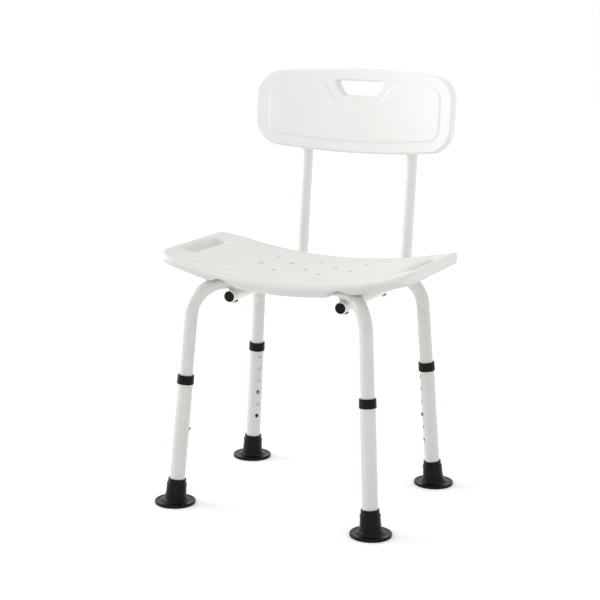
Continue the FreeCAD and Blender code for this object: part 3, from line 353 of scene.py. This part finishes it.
def nets(f, lo, hi, h):
    """Quads on f = 0: one vertex per crossed cell, then pulled onto the surface."""
    lo, h = np.array(lo, float), np.array(h, float)
    n = np.ceil((np.array(hi, float) - lo) / h).astype(int) + 1
    ax = [lo[i] + h[i] * np.arange(n[i]) for i in range(3)]
    V = f(*np.meshgrid(*ax, indexing="ij"))
    s = V < 0
    cnt = np.zeros([k - 1 for k in n], np.int8)
    for i in (0, 1):
        for j in (0, 1):
            for k in (0, 1):
                cnt += s[i : n[0] - 1 + i, j : n[1] - 1 + j, k : n[2] - 1 + k]
    act = (cnt > 0) & (cnt < 8)
    cells = np.argwhere(act)
    idx = -np.ones(act.shape, np.int64)
    idx[act] = np.arange(len(cells))
    acc, num = np.zeros((len(cells), 3)), np.zeros(len(cells))
    corners = [(i, j, k) for i in (0, 1) for j in (0, 1) for k in (0, 1)]
    for a in corners:
        for d in range(3):
            if a[d]:
                continue
            b = list(a)
            b[d] = 1
            va = V[cells[:, 0] + a[0], cells[:, 1] + a[1], cells[:, 2] + a[2]]
            vb = V[cells[:, 0] + b[0], cells[:, 1] + b[1], cells[:, 2] + b[2]]
            hit = (va < 0) != (vb < 0)
            t = np.where(hit, va / np.where(hit, va - vb, 1), 0)
            p = np.array(a, float) + t[:, None] * (np.array(b) - np.array(a))
            acc[hit] += p[hit]
            num[hit] += 1
    P = lo + (cells + acc / num[:, None]) * h
    faces = []
    for d in range(3):
        u, v = [(1, 2), (2, 0), (0, 1)][d]
        sl = [slice(None)] * 3
        sh = [slice(None)] * 3
        sl[d], sh[d] = slice(0, n[d] - 1), slice(1, n[d])
        cross = s[tuple(sl)] != s[tuple(sh)]
        e = np.argwhere(cross)
        ok = (e[:, u] > 0) & (e[:, v] > 0) & (e[:, u] < n[u] - 1) & (e[:, v] < n[v] - 1)
        e = e[ok]
        quad = []
        for du, dv in ((-1, -1), (0, -1), (0, 0), (-1, 0)):
            c = e.copy()
            c[:, u] += du
            c[:, v] += dv
            quad.append(idx[c[:, 0], c[:, 1], c[:, 2]])
        q = np.stack(quad, 1)
        flip = ~s[e[:, 0], e[:, 1], e[:, 2]]
        q[flip] = q[flip][:, ::-1]
        faces.append(q)
    faces = np.concatenate(faces)
    eps = 0.02

    def grad(P):
        g = np.empty_like(P)
        for d in range(3):
            o = np.zeros(3)
            o[d] = eps
            A, B = P + o, P - o
            g[:, d] = (f(A[:, 0], A[:, 1], A[:, 2]) - f(B[:, 0], B[:, 1], B[:, 2])) / (2 * eps)
        return g

    for _ in range(5):
        g = grad(P)
        val = f(P[:, 0], P[:, 1], P[:, 2])
        stepv = -(val / np.maximum((g * g).sum(1), 0.05))[:, None] * g
        size = np.linalg.norm(stepv, axis=1)
        cap = 0.6 * h.min()
        stepv *= np.minimum(1, cap / np.maximum(size, 1e-12))[:, None]
        P = P + stepv
    return P, faces, grad(P)


# ================================================================== seat
RT, RB = 950.0, 730.7
ZB = 405.2
DRAINS = [(s * 45.0, y) for y in (-57.75, 19.25) for s in (-1, 1)] + [(s * 90.0, y) for y in (-19.25, 57.75) for s in (-1, 0, 1)]


def seat_low(x):
    return ZB + RB - np.sqrt(RB * RB - x * x)


def seat_field(x, y, w):
    px, py = np.abs(x), np.abs(y)
    z = seat_low(x) + w
    top = z - (436.0 + RT - np.sqrt(RT * RT - x * x))
    panel = rrect(x, y, 203.0, 118.0, 26.0)
    top = top - 1.4 * step((-panel + 0.6) / 3.4)
    # the ends turn up a little past the slots
    top = top - 1.6 * step((px - 226.0) / 16.0)
    plan = rrect(x, y, 250.0, 145.0, 46.0)
    f = ri(plan, top, 8.0)
    f = ri(f, -w, 4.5)
    # the front and rear walls lean in to the underside
    f = ri(f, (np.hypot(x, ZB + RB - z) - RB + 0.885 * (py - 128.0)) / 1.335, 7.0)
    # hand slots, with soft lips
    f = ri(f, -rrect(px - 219.5, y, 11.5, 66.0, 10.5), 5.0)
    # drain holes
    d = np.full(np.shape(x), 1e3)
    for cx, cy in DRAINS:
        d = np.minimum(d, np.hypot(x - cx, y - cy) - 4.6)
    f = ri(f, -d, 2.0)
    # crossing channels underneath
    t = np.clip(px * CP + py * SP, 0, 179.0)
    ch = np.hypot(px - t * CP, py - t * SP) - 13.7
    f = ri(f, -ri(ch, z - 429.6, 3.0), 2.5)
    # arches over the back tubes, at the front and rear edges
    arch = ri(np.hypot(px - RAIL_X - 6.5, z - 399.3) - 29.3, 95.0 - py, 6.0)
    return ri(f, -arch, 2.5)


def place_seat(P):
    z = seat_low(P[:, 0]) + P[:, 2]
    return np.stack([P[:, 0], P[:, 1] + SH, z], 1) * MM


P, F, G = nets(seat_field, (-254, -149, -3.1), (254, 149, 34.0), (2.0, 2.0, 1.7))
# the field's third axis is height above the curved underside
slope = P[:, 0] / np.sqrt(RB * RB - P[:, 0] ** 2)
N = np.stack([G[:, 0] - G[:, 2] * slope, G[:, 1], G[:, 2]], 1)
N /= np.maximum(np.linalg.norm(N, axis=1), 1e-9)[:, None]
seat = to_mesh("seat_moulding", place_seat(P), F, N)
fit(seat, SEAT, "moulding", "frame", "seat_shell")

# ============================================================== backrest
CR, RW = 1600.0, 600.0
CY = -19.0 - RW
ZL, ZH = 227.0, 391.1


def board(x, z, inset, side, corner):
    rise = np.sqrt((CR - inset) ** 2 - x * x)
    return ri(np.abs(x) - 205.5 + side, np.maximum(z - (ZH - CR + rise), (ZL + CR - rise) - z), corner)


def back_field(x, w, z):
    px = np.abs(x)
    y = CY + np.sqrt((RW + w) ** 2 - x * x)
    panel = board(x, z, 23.0, 27.5, 22.0)
    edge = np.minimum(((px - 45.0) * 39.4 - (z - 326.6) * 30.0) / 49.52, ((px - 75.0) * 34.0 - (z - 366.0) * 29.0) / 44.69)
    panel = ri(panel, -ri(326.6 - z, edge, 7.0), 6.0)
    front = -(w + 1.6 * step((-panel + 0.6) / 3.2))
    f = ri(board(x, z, 0.0, 0.0, 45.0), np.maximum(front, w - 27.0), 7.0)
    # half-round ribs over the uprights
    rib = np.hypot(px - RAIL_X, y) - 13.85 + 0.87 * np.clip(z - 349.6, 0.0, 5.0)
    f = ru(f, ri(rib, np.maximum(233.0 - z, z - 354.6), 1.5), 3.0)
    # screw pads at the back
    pad = ri(np.hypot(px - RAIL_X, z - 300.0) - 8.0, y - 15.4, 0.8)
    f = ru(f, np.maximum(pad, 9.0 - y), 1.2)
    # hand opening
    side = ((px - 34.5) * 27.9 - (z - 339.5) * 16.5) / 32.41
    f = ri(f, -ri(side, np.abs(z - 353.45) - 13.95, 6.0), 4.0)
    # sockets for the uprights
    sock = np.maximum(np.hypot(px - RAIL_X, y) - 11.25, z - 347.0)
    return ri(f, -sock, 1.4)


P, F, G = nets(back_field, (-208.5, -4.3, 224.0), (208.5, 46.5, 394.0), (1.6, 1.5, 1.6))
Y = CY + np.sqrt((RW + P[:, 1]) ** 2 - P[:, 0] ** 2)
# w = hypot(x, y - CY) - RW, so its gradient is the radial direction
rx, ry = P[:, 0] / (RW + P[:, 1]), (Y - CY) / (RW + P[:, 1])
N = np.stack([G[:, 0] + G[:, 1] * rx, G[:, 1] * ry, G[:, 2]], 1)
N /= np.maximum(np.linalg.norm(N, axis=1), 1e-9)[:, None]
cr, sr = math.cos(REC), math.sin(REC)
TILT = np.array(((1, 0, 0), (0, cr, sr), (0, -sr, cr)))
Q = np.stack([P[:, 0], Y, P[:, 2]], 1) @ TILT.T + PIVOT
back = to_mesh("backrest_moulding", Q * MM, F, N @ TILT.T)
fit(back, BACKREST, "moulding", "frame", "backrest_shell")


# ================================================================= tubes
def bent(points, fine=3.0, gap=18.0):
    """Stations along straight runs joined by tangent arcs, in a plane: (position, tangent)."""
    pts = [np.array(p[:2], float) for p in points]
    out, cur = [], pts[0]

    def run(a, b):
        d = b - a
        L = np.linalg.norm(d)
        d /= L
        for k in range(max(1, int(L / gap))):
            out.append((a + d * L * k / max(1, int(L / gap)), d))
        return d

    for i in range(1, len(pts) - 1):
        a, p, c = pts[i - 1], pts[i], pts[i + 1]
        r = points[i][2]
        d1, d2 = (p - a) / np.linalg.norm(p - a), (c - p) / np.linalg.norm(c - p)
        turn = math.acos(float(np.clip(d1 @ d2, -1, 1)))
        t = r * math.tan(turn / 2)
        p1, p2 = p - d1 * t, p + d2 * t
        run(cur, p1)
        mid = p + (d2 - d1) / np.linalg.norm(d2 - d1) * (r / math.cos(turn / 2))
        sgn = 1 if d1[0] * d2[1] - d1[1] * d2[0] > 0 else -1
        count = max(2, int(math.degrees(turn) / fine))
        for k in range(count):
            ang = sgn * turn * k / count
            rot = np.array(((math.cos(ang), -math.sin(ang)), (math.sin(ang), math.cos(ang))))
            out.append((mid + rot @ (p1 - mid), rot @ d1))
        cur = p2
    d = run(cur, pts[-1])
    out.append((pts[-1], d))
    return out


def tube(name, stations, radius, wall, plane, squeeze=None, seg=72, lip=0.35):
    """Hollow tube along planar stations. plane maps (u, v, side) to x, y, z in mm."""
    ang = 2 * np.pi * np.arange(seg) / seg
    rows = []

    def ring(pos, tan, r, inner):
        nrm = np.array((-tan[1], tan[0]))
        u = pos[0] + r * np.cos(ang) * nrm[0]
        v = pos[1] + r * np.cos(ang) * nrm[1]
        side = r * np.sin(ang)
        if squeeze is not None:
            u, v, side = squeeze(u, v, side, inner)
        return plane(u, v, side)

    (p0, t0), (p1, t1) = stations[0], stations[-1]
    rows.append(ring(p0, t0, radius - lip, False))
    rows.append(ring(p0 + t0 * lip * 0.3, t0, radius - lip * 0.3, False))
    rows.append(ring(p0 + t0 * lip, t0, radius, False))
    for p, t in stations[1:-1]:
        rows.append(ring(p, t, radius, False))
    rows.append(ring(p1 - t1 * lip, t1, radius, False))
    rows.append(ring(p1 - t1 * lip * 0.3, t1, radius - lip * 0.3, False))
    rows.append(ring(p1, t1, radius - lip, False))
    rows.append(ring(p1, t1, radius - wall, True))
    for p, t in reversed(stations[1:-1]):
        rows.append(ring(p, t, radius - wall, True))
    rows.append(ring(p0, t0, radius - wall, True))
    verts = np.concatenate(rows)
    faces = []
    n = len(rows)
    for i in range(n):
        a, b = i * seg, ((i + 1) % n) * seg
        for k in range(seg):
            k2 = (k + 1) % seg
            faces.append((a + k, a + k2, b + k2, b + k))
    ob = to_mesh(name, verts * MM, faces)
    clean(ob)
    return ob


def drill(ob, cutters):
    """Cuts closed cylinders (start, direction, radius, length in mm) out of ob."""
    for start, direction, radius, length in cutters:
        q = Vector(direction).to_track_quat("Z", "Y").to_matrix().to_4x4()
        bm = bmesh.new()
        bmesh.ops.create_cone(
            bm, cap_ends=True, segments=48, radius1=radius * MM, radius2=radius * MM, depth=length * MM,
            matrix=Matrix.Translation(Vector(start) * MM) @ q @ Matrix.Translation((0, 0, length * MM / 2)),
        )
        me = bpy.data.meshes.new("drill")
        bm.to_mesh(me)
        bm.free()
        tool = bpy.data.objects.new("drill", me)
        bpy.context.scene.collection.objects.link(tool)
        mod = ob.modifiers.new("hole", "BOOLEAN")
        mod.object, mod.operation, mod.solver = tool, "DIFFERENCE", "EXACT"
        bpy.context.view_layer.update()
        dg = bpy.context.evaluated_depsgraph_get()
        new = bpy.data.meshes.new_from_object(ob.evaluated_get(dg))
        ob.modifiers.clear()
        old = ob.data
        ob.data = new
        bpy.data.meshes.remove(old)
        bpy.data.objects.remove(tool)
    return ob


def leg_point(along):
    return FOOT_R - along * math.sin(SPLAY), along * math.cos(SPLAY)


er, ez = leg_point(104.0)
corner = FOOT_R - ZX * math.tan(SPLAY)
cross_path = [(-er, ez), (-corner, ZX, 65.0), (corner, ZX, 65.0), (er, ez)]
for tag, turn, sign in (("a", PHI, 1), ("b", -PHI, -1)):
    c, s = math.cos(turn), math.sin(turn)

    def plane(u, v, side, c=c, s=s):
        return np.stack([u * c - side * s, u * s + side * c + SH, v], 1)

    def squeeze(u, v, side, inner, sign=sign):
        """Flattened to half height at the crossing, as in a press."""
        wall = 1.2 if inner else 0.0
        room = (ZX - sign * wall) + sign * 12.8 * step((np.abs(u) - 17.5) / 20.0)
        near = np.abs(u) < 37.5
        v2 = np.minimum(v, room) if sign > 0 else np.maximum(v, room)
        # below the axis the flat is narrower than the bore
        past = np.minimum(sign * (room - ZX), 0.0)
        wide = np.sqrt(np.maximum((12.7 - wall) ** 2 - past * past, 0.0))
        flat = near & (v2 != v) & (past < 0)
        return u, np.where(near, v2, v), np.where(flat, np.clip(side, -wide, wide), side)

    ends = bent(cross_path, 3.0, 16.0)
    # closer stations through the flattened stretch
    mid = [(np.array((x, ZX)), np.array((1.0, 0.0))) for x in np.arange(-40.0, 40.01, 2.0)]
    ends = [e for e in ends if not (abs(e[0][0]) < 42 and abs(e[0][1] - ZX) < 1e-6)]
    cut_at = next(i for i, e in enumerate(ends) if e[0][0] > 0)
    stations = ends[:cut_at] + mid + ends[cut_at:]
    ob = tube("upper_legs_" + tag, stations, 12.7, 1.2, plane, squeeze)
    holes = []
    for k in (-1, 1):
        bx = k * RAIL_X / math.cos(PHI)
        holes.append(((bx * c, bx * s + SH, ZX - 30), (0, 0, 1), 3.25, 60))
        hx, hz = leg_point(BUTTON_AT)
        d = (-k * math.cos(SPLAY) * c, -k * math.cos(SPLAY) * s, -math.sin(SPLAY))
        holes.append(((k * hx * c, k * hx * s + SH, hz), d, 3.5, 20))
    drill(ob, holes)
    shade(ob, 32)
    fit(ob, COAT, "tube_coating", "frame", "cross_tube_" + tag)

up_y = 206.4 + (RAIL_Z - 400.0) * math.tan(REC)
rail_path = [(-111.0, RAIL_Z), (up_y, RAIL_Z, 48.0), (206.4 + 345.0 * math.sin(REC), 400.0 + 345.0 * math.cos(REC))]
for word, sx in (("left", 1), ("right", -1)):

    def plane(u, v, side, sx=sx):
        return np.stack([sx * RAIL_X + side, u + SH, v], 1)

    ob = tube("back_frame_" + word, bent(rail_path, 3.0, 18.0), 11.1, 1.2, plane)
    holes = [((sx * RAIL_X, k * BOLT_Y + SH, RAIL_Z - 20), (0, 0, 1), 3.25, 40) for k in (-1, 1)]
    q = TILT @ np.array((0.0, -15.0, 300.0)) + PIVOT
    d = TILT @ np.array((0.0, 1.0, 0.0))
    holes.append(((sx * RAIL_X, q[1], q[2]), tuple(d), 2.6, 30))
    drill(ob, holes)
    shade(ob, 32)
    fit(ob, COAT_BACK, "tube_coating", "frame", "back_tube_" + word)


def leg_sleeve(name, m, ro=14.3, rin=13.15, z0=11.5, z1=245.0, hole_r=3.75, seg=96):
    """Lower leg: a tube with a row of round holes on the side facing local +X."""
    zs = [92.5 + 25.4 * k for k in range(6)]
    lip = 0.35
    verts, edges = [], []
    rows = sorted({z0, z1, 40.0, 60.0, 75.0, 235.0} | {z + o for z in zs for o in (-9.0, -6.2, 6.2, 9.0)})
    cols = [2 * math.pi * (k / seg - 0.5) for k in range(seg + 1)]
    key = []
    rim = hole_r + lip
    for z in rows:
        for th in cols:
            if any(math.hypot(ro * th, z - zc) < rim + 0.55 for zc in zs):
                continue
            key.append(("g", th, z))
    per = 32
    loops = []
    for zc in zs:
        loop = []
        for k in range(per):
            al = 2 * math.pi * k / per
            loop.append(len(key))
            key.append(("h", al, zc))
        loops.append(loop)
        for rr, cnt in ((rim + 0.9, 24), (rim + 2.0, 20)):
            for k in range(cnt):
                al = 2 * math.pi * (k + 0.5) / cnt
                key.append(("r", (al, rr), zc))

    def where(item, radius, hole):
        kind, a, z = item
        if kind == "g":
            return a, z
        al, rr = (a, hole) if kind == "h" else a
        return math.asin(max(-1, min(1, rr * math.cos(al) / radius))), z + rr * math.sin(al)

    flat = []
    for item in key:
        th, z = where(item, ro, rim)
        flat.append(Vector((ro * th, z)))
    cons = [(lp[k], lp[(k + 1) % per]) for lp in loops for k in range(per)]
    v2, _, tri, orig, _, _ = delaunay_2d_cdt(flat, cons, [], 0, 1e-5)
    back_of = {i: (o[0] if o else None) for i, o in enumerate(orig)}
    keep = []
    for t in tri:
        cx = sum(v2[i].x for i in t) / 3
        cz = sum(v2[i].y for i in t) / 3
        if abs(cx / ro) < 1.2 and any(math.hypot(ro * math.sin(cx / ro), cz - zc) < rim * 0.985 for zc in zs):
            continue
        keep.append(tuple(back_of[i] for i in t))
    n = len(key)
    pts, faces = [], []

    def lay(radius, hole):
        base = len(pts)
        for item in key:
            th, z = where(item, radius, hole)
            pts.append((radius * math.cos(th), radius * math.sin(th), z))
        return base

    outer = lay(ro, rim)
    inner = lay(rin, hole_r)
    faces += [tuple(outer + i for i in t) for t in keep]
    faces += [tuple(inner + i for i in reversed(t)) for t in keep]
    # hole walls: a broken edge, then straight through
    for lp, zc in zip(loops, zs):
        base = len(pts)
        for k in range(per):
            al = 2 * math.pi * k / per
            th = math.asin(hole_r * math.cos(al) / (ro - lip))
            pts.append(((ro - lip) * math.cos(th), (ro - lip) * math.sin(th), zc + hole_r * math.sin(al)))
        for k in range(per):
            k2 = (k + 1) % per
            faces.append((outer + lp[k2], outer + lp[k], base + k, base + k2))
            faces.append((base + k2, base + k, inner + lp[k], inner + lp[k2]))
    # end rings
    index = {}
    for i, item in enumerate(key):
        if item[0] == "g" and item[2] in (z0, z1):
            index[(item[2], round(item[1], 6))] = i
    for z, flip in ((z0, False), (z1, True)):
        ring = [index[(z, round(th, 6))] for th in cols]
        for k in range(seg):
            q = (outer + ring[k], outer + ring[k + 1], inner + ring[k + 1], inner + ring[k])
            faces.append(q[::-1] if flip else q)
    ob = to_mesh(name, moved(pts, m), faces)
    clean(ob, 4e-6)
    return shade(ob, 32)


# ======================================================= lower legs and feet
def tilted_rings(profile, m, name, seg=112):
    """Foot: rings (radius, height, lean 0..1); lean tips a ring square to the leg's axis."""
    ang = 2 * np.pi * np.arange(seg) / seg
    rows = []
    for r, z, lean in profile:
        a = SPLAY * lean
        # the ring's centre runs up the leg's axis once it leans with it
        cx, cz = z * math.sin(SPLAY) * lean, z * (math.cos(SPLAY) * lean + (1 - lean))
        x = cx + r * np.cos(ang) * math.cos(a)
        y = r * np.sin(ang)
        zz = cz - r * np.cos(ang) * math.sin(a)
        rows.append(np.stack([x, y, zz], 1))
    verts = np.concatenate(rows)
    n = len(rows)
    faces = []
    for i in range(n - 1):
        for k in range(seg):
            k2 = (k + 1) % seg
            faces.append((i * seg + k, i * seg + k2, (i + 1) * seg + k2, (i + 1) * seg + k))
    faces.append(tuple(range(seg))[::-1])
    faces.append(tuple((n - 1) * seg + k for k in range(seg)))
    ob = to_mesh(name, moved(verts, m), faces)
    clean(ob)
    return ob


def smooth_profile(points, steps=6):
    """Catmull-Rom through (radius, height, lean) points, for the moulded skirt."""
    p = np.array(points, float)
    out = []
    for i in range(len(p) - 1):
        a, b = p[i], p[i + 1]
        ma = (p[min(i + 1, len(p) - 1)] - p[max(i - 1, 0)]) / 2
        mb = (p[min(i + 2, len(p) - 1)] - p[i]) / 2
        for k in range(steps):
            t = k / steps
            out.append(tuple((2 * t**3 - 3 * t**2 + 1) * a + (t**3 - 2 * t**2 + t) * ma + (-2 * t**3 + 3 * t**2) * b + (t**3 - t**2) * mb))
    out.append(tuple(p[-1]))
    return out


sole = [
    (0.0003, 2.4, 0), (9.6, 2.4, 0), (10.2, 2.15, 0), (10.8, 1.45, 0), (11.4, 1.2, 0), (13.6, 1.2, 0), (14.2, 1.45, 0), (14.8, 2.15, 0), (15.4, 2.4, 0),
    (20.6, 2.4, 0), (21.2, 2.15, 0), (21.8, 1.45, 0), (22.4, 1.2, 0), (24.6, 1.2, 0), (25.2, 1.45, 0), (25.8, 2.15, 0), (26.4, 2.4, 0),
    (31.0, 2.4, 0), (31.8, 2.0, 0), (32.6, 0.7, 0), (33.2, 0.15, 0), (33.8, 0.0, 0), (36.4, 0.0, 0), (37.3, 0.25, 0), (37.85, 0.85, 0), (38.0, 1.5, 0),
    (38.0, 4.4, 0), (37.85, 4.95, 0), (37.5, 5.4, 0),
]
skirt = smooth_profile([(37.5, 5.4, 0), (36.8, 5.85, 0), (35.6, 6.0, 0), (33.5, 5.7, 0), (31.0, 5.35, 0), (27.5, 5.45, 0.05), (24.6, 6.4, 0.2), (22.6, 8.2, 0.45), (21.2, 10.6, 0.7), (20.3, 14.2, 0.9), (19.6, 17.8, 1.0), (19.1, 21.5, 1.0), (18.75, 28.0, 1.0), (18.6, 33.6, 1.0)], 4)[1:]
top = [
    (18.72, 34.2, 1), (18.72, 37.6, 1), (18.6, 38.3, 1), (18.2, 38.9, 1), (17.2, 39.4, 1), (16.95, 39.9, 1), (16.9, 40.6, 1), (16.85, 46.4, 1), (16.7, 47.2, 1),
    (16.3, 47.8, 1), (15.7, 48.0, 1), (14.9, 48.0, 1), (14.5, 47.8, 1), (14.36, 47.4, 1), (14.36, 30.0, 1), (14.36, 12.6, 1), (14.36, 10.1, 1), (13.8, 10.0, 1), (0.0003, 10.0, 1),
]

GROOVES = (233.9, 237.5, 241.1)


def collar_profile():
    lo, hi = 229.5, 246.5
    rb, rt = 15.9, 15.5

    def at(z):
        return rb + (rt - rb) * (z - lo) / (hi - lo)

    pts = [(14.36, lo), (rb - 0.6, lo), (rb - 0.15, lo + 0.2), (at(lo + 0.7), lo + 0.7)]
    for z in GROOVES:
        for o, d in ((-0.85, 0.0), (-0.55, 0.06), (-0.3, 0.25), (0.0, 0.36), (0.3, 0.25), (0.55, 0.06), (0.85, 0.0)):
            pts.append((at(z + o) - d, z + o))
    pts += [(at(hi - 1.4), hi - 1.4), (rt - 0.12, hi - 0.7), (rt - 0.5, hi - 0.2), (rt - 1.1, hi), (13.3, hi), (12.95, hi - 0.1), (12.86, hi - 0.4), (12.86, 245.1), (14.36, 245.1)]
    return pts


def button_profile():
    r, x0, x1, dome = 3.4, 8.9, 17.4, 2.2
    arc = (r * r + dome * dome) / (2 * dome)
    a0 = math.asin(r / arc)
    pts = [(0.0, x0), (4.3, x0), (4.6, x0 + 0.25), (4.6, x0 + 0.8), (4.4, x0 + 1.0), (r, x0 + 1.0), (r, x1 - dome - 0.15)]
    for k in range(0, 11):
        a = a0 * (1 - k / 10.0)
        pts.append((arc * math.sin(a) if k < 10 else 0.0, x1 - arc + arc * math.cos(a)))
    return pts


for tag, (sx, sy) in LEGS.items():
    m, fm = leg_matrix(sx, sy), foot_matrix(sx, sy)
    sleeve = leg_sleeve("lower_leg_" + tag, m)
    fit(sleeve, COAT, "tube_coating", "leg_" + tag, "leg_tube_" + tag)
    ring = lathe("clamp_collar_" + tag, collar_profile(), m, 112, 40)
    fit(ring, BLACK, "black_plastic", "leg_" + tag, "collar_" + tag)
    foot = tilted_rings(sole + skirt + top, fm, "rubber_foot_" + tag)
    shade(foot, 50)
    fit(foot, RUBBER, "foot_rubber", "leg_" + tag, "foot_" + tag)
    # the button's axis is local +X of the leg, at the hole
    bm4 = m.copy()
    bm4[:3, 0], bm4[:3, 1], bm4[:3, 2] = m[:3, 1], m[:3, 2], m[:3, 0]
    bm4[:3, 3] = m[:3, 3] + m[:3, 2] * BUTTON_AT
    pin = lathe("push_button_" + tag, button_profile(), bm4, 64, 40, closed=False)
    fit(pin, STEEL_DARKENED_FOR_SHADE, "bright_steel", "button_" + tag, "snap_button_" + tag)


# ======================================================= small frame parts
def at_matrix(x, y, z, zaxis=(0, 0, 1), spin=0.0):
    q = Vector(zaxis).to_track_quat("Z", "Y").to_matrix().to_4x4() @ Matrix.Rotation(spin, 4, "Z")
    m = np.array(q)
    m[:3, 3] = (x, y, z)
    return m


for word, sx in (("left", 1), ("right", -1)):
    # push-in plug: domed cap with a rim, ribs inside the tube
    prof = [(0.0, -12.0), (8.0, -12.0), (8.3, -11.8), (9.3, -10.7), (9.55, -10.2), (9.55, -8.2), (9.3, -7.7), (8.6, -7.2), (8.6, -5.6), (9.3, -5.0), (9.6, -4.4), (9.85, -2.0), (9.85, 0.1), (9.7, 0.5), (9.3, 0.85), (8.6, 1.05), (7.6, 1.12), (7.1, 1.05), (6.8, 0.92), (6.4, 0.88), (4.5, 1.05), (2.2, 1.25), (0.0, 1.3)]
    plug = lathe("tube_plug_" + word, prof, at_matrix(sx * RAIL_X, -111.0 + SH, RAIL_Z, (0, -1, 0)), 80, 40, closed=False)
    fit(plug, BLACK, "black_plastic", "frame", "end_plug_" + word)

# carried-over CAD nodes keep their shape and get worked materials
CARRIED = {
    "seat_bolts": STEEL, "seat_inserts": STEEL, "backrest_screws": STEEL,
    "saddle_washers": BLACK, "tube_spacers": NYLON,
}
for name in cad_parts:
    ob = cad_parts[name]
    if ob.hide_render:
        continue
    mat = CARRIED.get(name)
    if mat is None:
        mat = STEEL_DARKENED_FOR_SHADE if name.startswith(("button_spring", "snap_button")) else STEEL if name.startswith("foot_disc") else BLACK
    if not ob.material_slots:
        ob.data.materials.append(mat)
    for sl in ob.material_slots:
        sl.material = mat

# ============================================================ floor, light
bm = bmesh.new()
bmesh.ops.create_grid(bm, x_segments=8, y_segments=8, size=9.0)
me = bpy.data.meshes.new("studio_floor")
bm.to_mesh(me)
bm.free()
floor = bpy.data.objects.new("studio_floor", me)
bpy.context.scene.collection.objects.link(floor)
fmat, nt, p, vec = nodes_of("studio_floor")
nt.links.new(blend_colour(nt, noise(nt, vec, 3.0), (0.955, 0.955, 0.955), (0.965, 0.965, 0.965)), p.inputs["Base Color"])
p.inputs["Roughness"].default_value = 0.85
p.inputs["Specular IOR Level"].default_value = 0.1
p.inputs["Emission Color"].default_value = (1.0, 1.0, 1.0, 1.0)
# brighter far out, where the light falls off, so that the horizon doesn't show
far = nt.nodes.new("ShaderNodeVectorMath")
far.operation = "LENGTH"
nt.links.new(vec, far.inputs[0])
nt.links.new(remap(nt, far.outputs["Value"], 0.6, 4.0, 0.11, 0.32), p.inputs["Emission Strength"])
me.materials.append(fmat)


def lamp(name, loc, aim, size, power, colour=(1, 1, 1)):
    d = bpy.data.lights.new(name, "AREA")
    d.shape, d.size, d.size_y = "RECTANGLE", size[0], size[1]
    d.energy, d.color = power, colour
    ob = bpy.data.objects.new(name, d)
    ob.location = loc
    ob.rotation_euler = (Vector(aim) - Vector(loc)).to_track_quat("-Z", "Y").to_euler()
    bpy.context.scene.collection.objects.link(ob)
    return ob


lamp("softbox_left", (-3.0, -0.45, 1.45), (0.0, 0.0, 0.42), (1.6, 2.0), 38.0, (1.0, 0.998, 0.99))
lamp("softbox_top", (0.2, 0.2, 2.9), (0.0, 0.0, 0.3), (2.6, 2.6), 5.0)

world = bpy.data.worlds.new("studio")
bpy.context.scene.world = world
world.use_nodes = True
bg = world.node_tree.nodes.get("Background") or world.node_tree.nodes.new("ShaderNodeBackground")
bg.inputs["Strength"].default_value = 1.0
wt = world.node_tree
# white backdrop all round, a little dimmer from the front and right
wc = wt.nodes.new("ShaderNodeTexCoord")
dot = wt.nodes.new("ShaderNodeVectorMath")
dot.operation = "DOT_PRODUCT"
dot.inputs[1].default_value = (0.60, -0.80, 0.0)
wt.links.new(wc.outputs["Generated"], dot.inputs[0])
grey = blend_colour(wt, remap(wt, dot.outputs["Value"], -0.40, 0.75, 0.0, 1.0), (1.0, 1.0, 1.0), (0.78, 0.785, 0.78))
wt.links.new(grey, bg.inputs["Color"])
out = world.node_tree.nodes.get("World Output") or world.node_tree.nodes.new("ShaderNodeOutputWorld")
world.node_tree.links.new(bg.outputs[0], out.inputs[0])
bpy.context.scene.view_settings.view_transform = "Standard"
bpy.context.scene.view_settings.look = "None"

# ================================================================= camera
cam_data = bpy.data.cameras.new("camera")
cam_data.sensor_width = 36.0
cam_data.lens = 1565.67 / 600.0 * 36.0
cam_data.clip_start, cam_data.clip_end = 0.1, 60.0
cam = bpy.data.objects.new("camera", cam_data)
az, el, roll = math.radians(24.71), math.radians(11.90), math.radians(0.62)
look = Vector((-math.sin(az) * math.cos(el), math.cos(az) * math.cos(el), -math.sin(el)))
cam.location = Vector((1175.4, -2595.9 + SH, 976.0)) * MM
cam.rotation_mode = "QUATERNION"
cam.rotation_quaternion = look.to_track_quat("-Z", "Y") @ Matrix.Rotation(roll, 3, "Z").to_quaternion()
bpy.context.scene.collection.objects.link(cam)
bpy.context.scene.camera = cam
